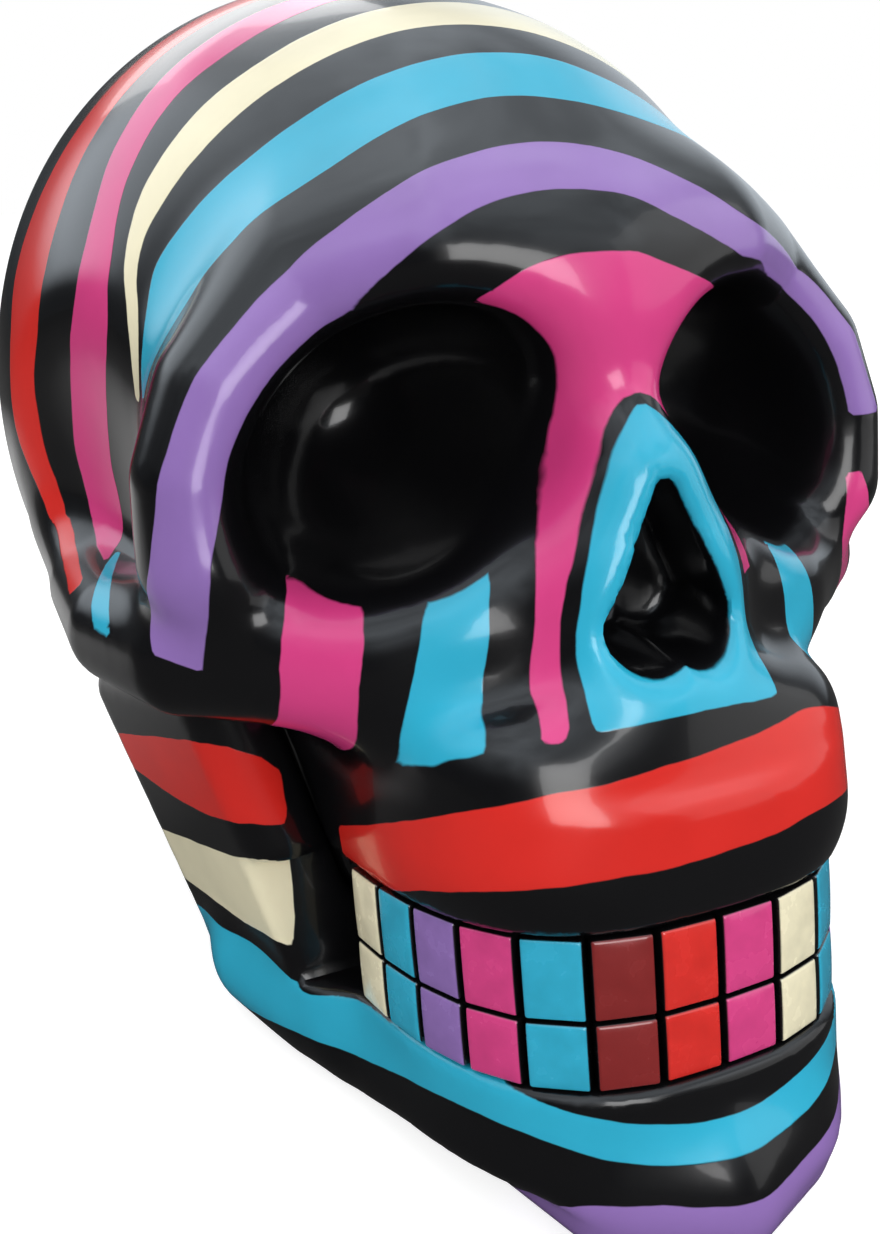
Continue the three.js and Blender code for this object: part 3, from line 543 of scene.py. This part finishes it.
def striped_lacquer(name, colours):
    material, tree = new_material(name)
    place = add(tree, "ShaderNodeTexCoord").outputs["Object"]
    hand = noise(tree, place, EDGE_SPAN, 2.0)
    stray = add(tree, "ShaderNodeMath", {"operation": "MULTIPLY_ADD"}, _0=hand)
    stray.inputs[1].default_value = 2 * EDGE_WANDER
    stray.inputs[2].default_value = -EDGE_WANDER
    tone = noise(tree, place, BRUSH_SPAN, 4.0)
    colour, covered = None, None
    for shade in colours:
        depth = add(tree, "ShaderNodeAttribute", {"attribute_name": "paint_" + shade}).outputs["Fac"]
        edge = add(tree, "ShaderNodeMath", {"operation": "ADD"}, _0=depth, _1=stray.outputs[0]).outputs[0]
        mask = ranged(tree, edge, 0.0, 1.0, -EDGE_SOFT, EDGE_SOFT, "SMOOTHSTEP")
        mixed = add(tree, "ShaderNodeMix", {"data_type": "RGBA"}, Factor=mask)
        mixed.inputs[COLOUR_A].default_value = linear(BLACK)
        mixed.inputs[COLOUR_B].default_value = linear(COLOURS[shade])
        if colour is None:
            covered = mask
        else:
            tree.links.new(colour, mixed.inputs[COLOUR_A])
            covered = add(tree, "ShaderNodeMath", {"operation": "MAXIMUM"}, _0=covered, _1=mask).outputs[0]
        colour = mixed.outputs[MIXED]
    brushed = add(tree, "ShaderNodeMix", {"data_type": "RGBA", "blend_type": "MULTIPLY", "Factor": 1.0})
    tree.links.new(colour, brushed.inputs[COLOUR_A])
    tree.links.new(ranged(tree, tone, 0.9, 1.06, 0.3, 0.7), brushed.inputs[COLOUR_B])
    film = add(tree, "ShaderNodeBump", {"Strength": 0.25, "Distance": FILM_THICK / 1000}, Height=covered)
    wet = add(tree, "ShaderNodeBump", {"Strength": 0.05, "Distance": PEEL_DEPTH / 1000},
              Height=noise(tree, place, PEEL_SPAN, 1.0), Normal=film.outputs[0])
    shader = add(tree, "ShaderNodeBsdfPrincipled",
                 {"IOR": 1.45, "Coat Weight": 0.35, "Coat Roughness": 0.06, "Coat IOR": 1.5},
                 Normal=wet.outputs[0], Roughness=ranged(tree, tone, 0.16, 0.3))
    tree.links.new(brushed.outputs[MIXED], shader.inputs["Base Color"])
    tree.links.new(wet.outputs[0], shader.inputs["Coat Normal"])
    add(tree, "ShaderNodeOutputMaterial", Surface=shader.outputs[0])
    return material


def finish_piece(piece, material, slot, *nodes):
    piece.data.materials.clear()
    piece.data.materials.append(material)
    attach(piece, "root")
    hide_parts(*nodes)


finish_piece(cranium, striped_lacquer("gloss_lacquer_on_cranium", ["purple", "blue", "cream", "pink", "red"]),
             "black_lacquer", "cranium")

# Jaw: a second resin casting, chin, jaw body and two upright rami, bonded under the cranium. Same lacquer;
# its stripes follow the jaw's lower edge round from one ramus to the other.

JAW_LOW, JAW_HIGH = (-48, -6), (72, 80, 84)  # back and up; out, back and up


def jaw_form(p):
    p = folded(p)
    return carve(jaw_mass(p), tooth_rebate(p), FINE)


jaw = piece_from("jaw_casting", *skin(jaw_form, JAW_LOW, JAW_HIGH, CASTING_GRAIN))
cut_flat_below(TABLE_CLEAR)

JAW_BLUE_TOP = [(0, 22), (6, 22.2), (13, 23.2), (35, 25), (45, 23.7), (78, 18.8), (84, 18.2), (90, 17.4),
                (95, 18.2), (103, 19), (114, 17.6), (140, 10)]  # angle round the mouth, height
JAW_BLUE_BOTTOM = [(0, 18.1), (8, 18.1), (34, 19.7), (42, 18.7), (53, 16), (68, 12.4), (95, 8.6), (107, 5.4),
                   (140, -5)]
CHIN_TOP = [(-140, 0), (-78, 2), (-66, 5), (-58, 9), (-24, 15.2), (-13, 14), (8, 13.4), (13, 13.8),
            (23, 12.4), (28, 9), (33, 4), (40, -2), (140, -9)]
RAMUS_CREAM = [(48, 3), (10.3, 4.1), (4.3, 4.8), (0.6, 4.2), (-2.4, 3.3), (1.8, -7.8), (4.4, -12),
               (6.5, -10.6), (10.7, -10.1), (18, -9.9), (48, -5)]  # back from the front outer edge, up
RAMUS_RED = [(48, 17.5), (28.6, 12.7), (21.3, 11.5), (13.6, 10.9), (5.2, 11.1), (-0.4, 10.2), (-6, 8.1),
             (-7.1, 9.8), (-8.4, 15.5), (-6.6, 19), (-2.6, 22.3), (1.8, 23.9), (5.9, 24.5), (48, 21)]
LEAST_FACING, FACING_DEPTH = 0.05, 12  # how far the skin faces out where paint starts; depth per unit
CHIN_WRAP, RAMUS_WRAP = 6, 4  # millimetres that the paint goes on round the edge

spot = points_of(jaw) * 1000 + np.array((0, BRIDGE_FORWARD, 0))
x, y, z = spot.T
round_mouth = angle_round_mouth(spot)
facing = points_of(jaw, "normal")
away = np.stack((x, y - MOUTH_BACK), -1)
outward = (facing[:, :2] * away).sum(1) / (np.linalg.norm(away, axis=1) + 1e-9)
on_outside = (np.maximum(outward, facing[:, 0] * np.sign(x)) - LEAST_FACING) * FACING_DEPTH
ramus_out, ramus_back, ramus_up = along_ramus(folded(spot)).T
round_ramus = ramus_back + RAMUS_SIZE[1] / 2 - (RAMUS_SIZE[0] / 2 - ramus_out)


def on_ramus(outline):
    return within(inside_outline(round_ramus, ramus_up, outline), ramus_out + RAMUS_WRAP)


from_front = np.abs(round_mouth)
jaw_blue = within(eased(from_front, JAW_BLUE_TOP) - z, z - eased(from_front, JAW_BLUE_BOTTOM), on_outside)
paint(jaw, "blue", jaw_blue)
paint(jaw, "purple", within(eased(round_mouth, CHIN_TOP) - z, on_outside + CHIN_WRAP))
paint(jaw, "cream", on_ramus(RAMUS_CREAM))
paint(jaw, "red", on_ramus(RAMUS_RED))
finish_piece(jaw, striped_lacquer("gloss_lacquer_on_jaw", ["purple", "blue", "cream", "red"]),
             "black_lacquer", "jaw")

# Teeth: 28 cast resin tiles, 14 to a row, each painted one colour, lacquered and glued side by side into the
# rebate of its jaw. The dark lines between them are the gaps over the black gum.

TOOTH_WIDTH, TOOTH_LINE, BITE_LINE = 8.8, 0.9, 0.5
TOOTH_PROUD, TOOTH_CROWN, TOOTH_ROUND, PAINT_INSET = 0.3, 0.35, 0.5, 0.15
TILE_EDGE_SOFT, TILE_BRUSH_SPAN, TILE_PEEL_DEPTH = 0.06, 3.85, 0.08
BRUSHED_THIN = 0.86  # share of the colour where the brush left least
RIGHT_TEETH = ["red", "dark_red", "blue", "pink", "purple", "blue", "cream"]
LEFT_TEETH = ["pink", "cream", "blue", "purple", "red", "dark_red", "blue"]
ROWS = {"upper": (UPPER_TOOTH, BITE_LINE / 2),  # height of a tooth, height of its foot
        "lower": (LOWER_TOOTH, -BITE_LINE / 2 - LOWER_TOOTH)}

turn_steps = np.linspace(-math.pi / 2, math.pi / 2, 4001)
power = 2 / ARCH_SQUARENESS
arch_x = np.sign(turn_steps) * np.abs(np.sin(turn_steps)) ** power * ARCH_WIDTH / 2
arch_y = (1 - np.abs(np.cos(turn_steps)) ** power) * ARCH_LENGTH / 2
arch_run = np.concatenate(([0], np.cumsum(np.hypot(np.diff(arch_x), np.diff(arch_y)))))
arch_run -= arch_run[len(arch_run) // 2]
to_row = (Matrix.Translation(Vector((0, -BRIDGE_FORWARD, 0)) / 1000) @ Matrix.Translation(Vector(BITE) / 1000)
          @ Matrix.Rotation(-math.radians(BITE_TILT), 4, "X"))


def two_tone(tree, value, dark, light, low=0.0, high=1.0):
    """Colour ramp from a dark tone to a light one."""
    ramp = add(tree, "ShaderNodeValToRGB", Fac=value)
    first, last = ramp.color_ramp.elements
    first.position, first.color = low, dark
    last.position, last.color = high, light
    return ramp.outputs["Color"]


def painted_tile(shade):
    """Lacquered tile: one flat colour in front, a little uneven where the brush went, and black sides."""
    material, tree = new_material("gloss_tooth_" + shade)
    place = add(tree, "ShaderNodeTexCoord").outputs["Object"]
    brush = noise(tree, place, TILE_BRUSH_SPAN, 3.0)
    full = linear(COLOURS[shade])
    thin = tuple(c * BRUSHED_THIN for c in full[:3]) + (1,)
    wet = add(tree, "ShaderNodeBump", {"Strength": 0.08, "Distance": TILE_PEEL_DEPTH / 1000},
              Height=noise(tree, place, PEEL_SPAN, 1.0))
    shader = add(tree, "ShaderNodeBsdfPrincipled",
                 {"IOR": 1.5, "Coat Weight": 0.6, "Coat Roughness": 0.05, "Coat IOR": 1.5},
                 Normal=wet.outputs[0], Roughness=ranged(tree, brush, 0.18, 0.34))
    depth = add(tree, "ShaderNodeAttribute", {"attribute_name": "paint_front"}).outputs["Fac"]
    front = ranged(tree, depth, 0.0, 1.0, -TILE_EDGE_SOFT, TILE_EDGE_SOFT)
    faced = add(tree, "ShaderNodeMix", {"data_type": "RGBA"}, Factor=front)
    faced.inputs[COLOUR_A].default_value = linear(BLACK)
    tree.links.new(two_tone(tree, brush, thin, full, 0.3, 0.62), faced.inputs[COLOUR_B])
    tree.links.new(faced.outputs[MIXED], shader.inputs["Base Color"])
    add(tree, "ShaderNodeOutputMaterial", Surface=shader.outputs[0])
    return material


tile_finish = {shade: painted_tile(shade) for shade in COLOURS}


def tooth_tile(name, height):
    """One tile about the middle of its lower edge: a block crowned in front, its edges eased by the mould."""
    bpy.ops.object.select_all(action="DESELECT")
    bpy.ops.mesh.primitive_cube_add(size=1, location=(0, (TOOTH_DEPTH - TOOTH_PROUD) / 2000, height / 2000))
    tile = bpy.context.object
    tile.name = name
    tile.scale = Vector((TOOTH_WIDTH - TOOTH_LINE, TOOTH_DEPTH + TOOTH_PROUD, height)) / 1000
    bpy.ops.object.transform_apply(location=True, rotation=False, scale=True)
    bpy.ops.object.mode_set(mode="EDIT")
    bpy.ops.mesh.select_all(action="SELECT")
    bpy.ops.mesh.subdivide(number_cuts=6)
    bpy.ops.object.mode_set(mode="OBJECT")
    for vertex in tile.data.vertices:
        across, up = vertex.co.x * 2000 / TOOTH_WIDTH, vertex.co.z * 2000 / height - 1
        if vertex.co.y < -TOOTH_PROUD / 1000 + 1e-6:
            vertex.co.y -= TOOTH_CROWN / 1000 * (1 - across * across) * (1 - up * up)
    edges = tile.modifiers.new("eased_edges", "BEVEL")
    edges.limit_method, edges.angle_limit = "ANGLE", math.radians(50)
    edges.width, edges.segments = TOOTH_ROUND / 1000, 3
    bpy.ops.object.modifier_apply(modifier=edges.name)
    shade_smooth(crease=40)
    across, _, up = points_of(tile).T * 1000
    in_from_edge = within((TOOTH_WIDTH - TOOTH_LINE) / 2 - np.abs(across), up, height - up) - PAINT_INSET
    tile.data.attributes.new("paint_front", "FLOAT", "POINT").data.foreach_set("value", in_from_edge)
    return tile


def along_arch(run):
    return Vector((np.interp(run, arch_run, arch_x), np.interp(run, arch_run, arch_y), 0))


for row, (height, foot) in ROWS.items():
    pattern_tile = tooth_tile(row + "_tile", height)
    for side, sign, shades in (("right", -1, RIGHT_TEETH), ("left", 1, LEFT_TEETH)):
        for number, shade in enumerate(shades, 1):
            run = sign * (number - 0.5) * TOOTH_WIDTH
            start, end = along_arch(run - TOOTH_WIDTH / 2), along_arch(run + TOOTH_WIDTH / 2)
            heading = end - start
            middle = (start + end) / 6 + along_arch(run) * 2 / 3  # mean of the curved stretch that it covers
            middle.z = foot
            facing_out = Matrix.Rotation(math.atan2(heading.y, heading.x), 4, "Z")
            tooth = pattern_tile.copy()
            tooth.data = pattern_tile.data.copy()
            tooth.name = f"{row}_tile_{side}_{number}"
            tooth.data.transform(to_row @ Matrix.Translation(middle / 1000) @ facing_out)
            bpy.context.collection.objects.link(tooth)
            finish_piece(tooth, tile_finish[shade], "tooth_" + shade, f"{row}_tooth_{side}_{number}")
    bpy.data.objects.remove(pattern_tile)

# Base plug: a moulded grey rubber bung, pushed into the casting's pour hole from below until its flange
# seats. Matt, with the fine pebble of a spark-eroded mould and a shallow dish left by shrinkage.

FLANGE_WIDE, FLANGE_THICK, FLANGE_LOW = 26, 2.5, 3.4
STEM_WIDE, STEM_LONG, STEM_SUNK = 20, 7, 0.2
DISH_IN, DISH_SIDE, DISH_DEEP, DISH_ROUND = 3, 0.8, 0.6, 0.3
PEBBLE_SPAN, PEBBLE_DEPTH, BLOOM_SPAN = 0.625, 0.1, 5.55
RUBBER_DARK, RUBBER_PALE = "#333336", "#48484b"

plug = disc(FLANGE_WIDE, FLANGE_THICK, 0, PLUG_BACK, FLANGE_LOW + FLANGE_THICK / 2)
plug.name = "rubber_bung"


def select_faces(piece, wanted):
    """Leaves edit mode's selection on the faces whose normal is wanted."""
    bpy.ops.object.mode_set(mode="OBJECT")
    for part in (piece.data.vertices, piece.data.edges, piece.data.polygons):
        part.foreach_set("select", [False] * len(part))
    for face in piece.data.polygons:
        face.select = wanted(face.normal)
    bpy.ops.object.mode_set(mode="EDIT")
    bpy.ops.mesh.select_mode(type="FACE")


select_faces(plug, lambda normal: normal.z < -0.9)
bpy.ops.mesh.inset(thickness=DISH_IN / 1000)
bpy.ops.mesh.inset(thickness=DISH_SIDE / 1000)
bpy.ops.transform.translate(value=(0, 0, DISH_DEEP / 1000))
bpy.ops.mesh.bevel(offset=DISH_ROUND / 1000, segments=2, affect="EDGES")
bpy.ops.object.mode_set(mode="OBJECT")
disc(STEM_WIDE, STEM_LONG, 0, PLUG_BACK, FLANGE_LOW + FLANGE_THICK + STEM_LONG / 2 - STEM_SUNK)
plug.select_set(True)
bpy.context.view_layer.objects.active = plug
bpy.ops.object.join()
shade_smooth(crease=40)

rubber, tree = new_material("moulded_grey_rubber")
place = add(tree, "ShaderNodeTexCoord").outputs["Object"]
pebble = add(tree, "ShaderNodeTexVoronoi", {"Scale": 1000 / PEBBLE_SPAN}, Vector=place).outputs["Distance"]
bloom = two_tone(tree, noise(tree, place, BLOOM_SPAN, 4.0), linear(RUBBER_DARK), linear(RUBBER_PALE))
grip = add(tree, "ShaderNodeBump", {"Strength": 0.3, "Distance": PEBBLE_DEPTH / 1000}, Height=pebble)
shader = add(tree, "ShaderNodeBsdfPrincipled", {"Roughness": 0.72, "IOR": 1.52}, Normal=grip.outputs[0])
tree.links.new(bloom, shader.inputs["Base Color"])
add(tree, "ShaderNodeOutputMaterial", Surface=shader.outputs[0])
finish_piece(plug, rubber, "grey_rubber", "base_plug")

# Felt pads: four discs punched from black wool felt and glued below, two under the jaw and two under the
# heel. The punch rounds the edges, and the nap stands a little ragged round the rim.

PAD_WIDE, PAD_THICK, PAD_ROUND, PAD_SIDES = 10, 1.6, 0.35, 72
PAD_PLACES = {"jaw": (30, 19), "heel": (13, 110)}  # out, back
RAGGED = 0.02  # share of its distance from the middle that a point of the rim draws in
FIBRE_SPAN, NAP_DEPTH, TUFT_SPAN = 0.385, 0.2, 2
FELT_DARK, FELT_PALE = "#1c1c1f", "#323236"

felt, tree = new_material("black_wool_felt")
place = add(tree, "ShaderNodeTexCoord").outputs["Object"]
fibre = noise(tree, place, FIBRE_SPAN, 5.0, distortion=2.0)
tufts = two_tone(tree, noise(tree, place, TUFT_SPAN, 3.0), linear(FELT_DARK), linear(FELT_PALE))
nap = add(tree, "ShaderNodeBump", {"Strength": 0.8, "Distance": NAP_DEPTH / 1000}, Height=fibre)
shader = add(tree, "ShaderNodeBsdfPrincipled",
             {"Roughness": 0.95, "Sheen Weight": 0.35, "Sheen Roughness": 0.5, "IOR": 1.4},
             Normal=nap.outputs[0])
tree.links.new(tufts, shader.inputs["Base Color"])
add(tree, "ShaderNodeOutputMaterial", Surface=shader.outputs[0])

ragged = np.random.default_rng(7)
for part, (pad_out, pad_back) in PAD_PLACES.items():
    for side, sign in (("right", -1), ("left", 1)):
        pad = disc(PAD_WIDE, PAD_THICK, sign * pad_out, pad_back, PAD_THICK / 2, PAD_SIDES)
        pad.name = f"felt_disc_{part}_{side}"
        select_faces(pad, lambda normal: abs(normal.z) > 0.9)
        bpy.ops.mesh.bevel(offset=PAD_ROUND / 1000, segments=3, affect="EDGES")
        bpy.ops.object.mode_set(mode="OBJECT")
        middle = Vector((sign * pad_out, pad_back - BRIDGE_FORWARD, 0)) / 1000
        for vertex in pad.data.vertices:
            draw_in = 1 - RAGGED * ragged.random()
            vertex.co.x = middle.x + (vertex.co.x - middle.x) * draw_in
            vertex.co.y = middle.y + (vertex.co.y - middle.y) * draw_in
        shade_smooth(crease=60)
        finish_piece(pad, felt, "black_felt", f"felt_pad_{part}_{side}")

# Camera: from the skull's right front and a little above, close to it, as the photograph was taken. Its
# place, axes and focal length were fitted to the photograph.

FOCAL_PIXELS, FRAME_HEIGHT = 1250, 1234
CAMERA_PLACE = (-84.216, -133.396, 137.027)  # millimetres about the bridge of the nose
CAMERA_RIGHT, CAMERA_DOWN = (0.91492, -0.40350, -0.01037), (-0.15060, -0.31742, -0.93625)
CAMERA_AHEAD = (0.37449, 0.85816, -0.35118)

camera = bpy.data.objects.new("camera", bpy.data.cameras.new("camera"))
bpy.context.collection.objects.link(camera)
bpy.context.scene.camera = camera
camera.data.lens = FOCAL_PIXELS * camera.data.sensor_width / FRAME_HEIGHT
camera.data.clip_start = 0.01
turned = Matrix((CAMERA_RIGHT, -Vector(CAMERA_DOWN), -Vector(CAMERA_AHEAD))).transposed()
eye = (Vector(CAMERA_PLACE) - Vector((0, BRIDGE_FORWARD, 0))) / 1000
camera.matrix_world = Matrix.Translation(eye) @ turned.to_4x4()

# Stage: plain pale floor, white surround and soft studio light. Seen in the lacquer, the floor carries
# painted
# light: a painted pale reflection behind the skull, where the lacquer's lower left rim mirrors it, and
# painted dim shade elsewhere.

FLOOR_SIZE = 6  # metres, as all of the stage
PAPER, GLOW = (0.55, 0.55, 0.55, 1), 0.75
# painted reflection and painted shade on the floor, seen only in the lacquer: pale round this place up to the
# near distance, dim from the far one
MIRRORED_PATCH_PLACE, MIRRORED_PATCH_NEAR, MIRRORED_PATCH_FAR = (-0.15, 0.3, 0), 0.1, 0.3  # pale up to the one distance, dim from the other
PAINTED_REFLECTION_PALE, PAINTED_SHADE_DIM = 0.6, 0.07
WHITE = (1, 1, 1, 1)

bpy.ops.object.select_all(action="DESELECT")
bpy.ops.mesh.primitive_plane_add(size=FLOOR_SIZE, location=(0, 0, 0))
floor = bpy.context.object
floor.name = "floor"


def seen_straight(tree):
    """Light path, and a mask for the rays that show the background itself."""
    path = add(tree, "ShaderNodeLightPath")
    seen = add(tree, "ShaderNodeMath", {"operation": "MAXIMUM"}, _0=path.outputs["Is Camera Ray"],
               _1=path.outputs["Is Transmission Ray"])
    return path, seen.outputs[0]


paper, tree = new_material("white_paper")
path, seen = seen_straight(tree)
sheet = add(tree, "ShaderNodeBsdfDiffuse", {"Color": PAPER})
# rays from the lacquer see the paper in painted colour, not by its light: a painted pale reflection round one
# place, painted dim shade further off
from_painted_patch = add(tree, "ShaderNodeVectorMath", {"operation": "DISTANCE"},
                _0=add(tree, "ShaderNodeTexCoord").outputs["Object"])
from_painted_patch.inputs[1].default_value = MIRRORED_PATCH_PLACE
painted_reflection_tone = ranged(tree, from_painted_patch.outputs["Value"], PAINTED_REFLECTION_PALE, PAINTED_SHADE_DIM, MIRRORED_PATCH_NEAR, MIRRORED_PATCH_FAR)
shade = add(tree, "ShaderNodeBsdfDiffuse", Color=painted_reflection_tone)
glow = add(tree, "ShaderNodeEmission", {"Color": WHITE, "Strength": GLOW})
lit = add(tree, "ShaderNodeAddShader", _0=sheet.outputs[0], _1=glow.outputs[0])
away = add(tree, "ShaderNodeMixShader", Fac=path.outputs["Is Glossy Ray"], _1=sheet.outputs[0],
           _2=shade.outputs[0])
both = add(tree, "ShaderNodeMixShader", Fac=seen, _1=away.outputs[0], _2=lit.outputs[0])
add(tree, "ShaderNodeOutputMaterial", Surface=both.outputs[0])
floor.data.materials.append(paper)

# The room lights the skull evenly and is white behind it, to the camera and in the lacquer's far rims. The
# rest of the room is dim where the lacquer mirrors it, so that black stays deep.

ROOM_LIGHT, ROOM_TINT = 0.55, (0.84, 0.92, 1, 1)
PALE_WALLS = [((0.72, 0.68, 0.12), 0.74, 0.95, 0.95),  # direction, cosines of edge and heart, strength
              ((-0.47, 0.75, 0.47), 0.91, 0.985, 1.6)]

world = bpy.data.worlds.new("studio")
bpy.context.scene.world = world
world.use_nodes = True
tree = world.node_tree
tree.nodes.clear()
path, seen = seen_straight(tree)
soft = add(tree, "ShaderNodeBackground", {"Color": WHITE, "Strength": ROOM_LIGHT})
aim = add(tree, "ShaderNodeTexCoord").outputs["Generated"]
height = add(tree, "ShaderNodeSeparateXYZ", _0=aim).outputs["Z"]
rise = ranged(tree, height, 0.06, 1.5, 0.2, 0.95, "SMOOTHSTEP")
patches = add(tree, "ShaderNodeTexNoise", {"Scale": 3.2, "Detail": 5.0, "Roughness": 0.6}, Vector=aim)
broken = ranged(tree, patches.outputs["Fac"], 0.45, 1.25, 0.35, 0.65)
glimpsed = add(tree, "ShaderNodeMath", {"operation": "MULTIPLY"}, _0=rise, _1=broken).outputs[0]
for direction, edge, heart, strength in PALE_WALLS:
    near = add(tree, "ShaderNodeVectorMath", {"operation": "DOT_PRODUCT"}, _0=aim)
    near.inputs[1].default_value = direction
    wall = ranged(tree, near.outputs["Value"], 0.0, strength, edge, heart, "SMOOTHSTEP")
    glimpsed = add(tree, "ShaderNodeMath", {"operation": "MAXIMUM"}, _0=glimpsed, _1=wall).outputs[0]
dim = add(tree, "ShaderNodeBackground", {"Color": ROOM_TINT}, Strength=glimpsed)
white = add(tree, "ShaderNodeBackground", {"Color": WHITE, "Strength": 1.0})
mirrored = add(tree, "ShaderNodeMixShader", Fac=path.outputs["Is Glossy Ray"], _1=soft.outputs[0],
               _2=dim.outputs[0])
both = add(tree, "ShaderNodeMixShader", Fac=seen, _1=mirrored.outputs[0], _2=white.outputs[0])
add(tree, "ShaderNodeOutputWorld", Surface=both.outputs[0])

HEAD, CHIN = (0, 0, 0.09), (0, -0.1, 0.065)  # what the panels are aimed at


def softbox(name, side, rise, away, width, height, brightness, mirrored=True, lighting=True, about=HEAD):
    """A lamp panel seen from a point at that angle round from the front and above the table, in degrees."""
    lamp = bpy.data.objects.new(name, bpy.data.lights.new(name, "AREA"))
    bpy.context.collection.objects.link(lamp)
    level = math.cos(math.radians(rise))
    towards = Vector((math.sin(math.radians(side)) * level, -math.cos(math.radians(side)) * level,
                      math.sin(math.radians(rise))))
    lamp.data.shape, lamp.data.size, lamp.data.size_y = "RECTANGLE", width, height
    lamp.data.energy = brightness * math.pi * width * height
    lamp.location = towards * away + Vector(about)
    lamp.rotation_euler = (-towards).to_track_quat("-Z", "Y").to_euler()
    lamp.visible_glossy, lamp.visible_diffuse = mirrored, lighting


softbox("overhead", side=180, rise=80, away=1.1, width=1.2, height=1.0, brightness=1.2, mirrored=False)
softbox("front_fill", side=-20, rise=22, away=1.4, width=1.2, height=0.9, brightness=0.8, mirrored=False)
softbox("left_fill", side=-105, rise=40, away=1.1, width=0.8, height=0.7, brightness=1.3, mirrored=False)
softbox("front_key", side=-4, rise=30, away=0.34, width=0.14, height=0.2, brightness=3.4, mirrored=False,
        about=CHIN)
softbox("front_window", side=-14, rise=24, away=0.34, width=0.19, height=0.2, brightness=5, lighting=False,
        about=CHIN)
softbox("right_wall", side=56, rise=17, away=1.3, width=1.5, height=1.3, brightness=0.75)
softbox("back_light", side=178, rise=29, away=1.2, width=0.58, height=0.3, brightness=2.0)

bpy.context.scene.view_settings.view_transform = "Standard"
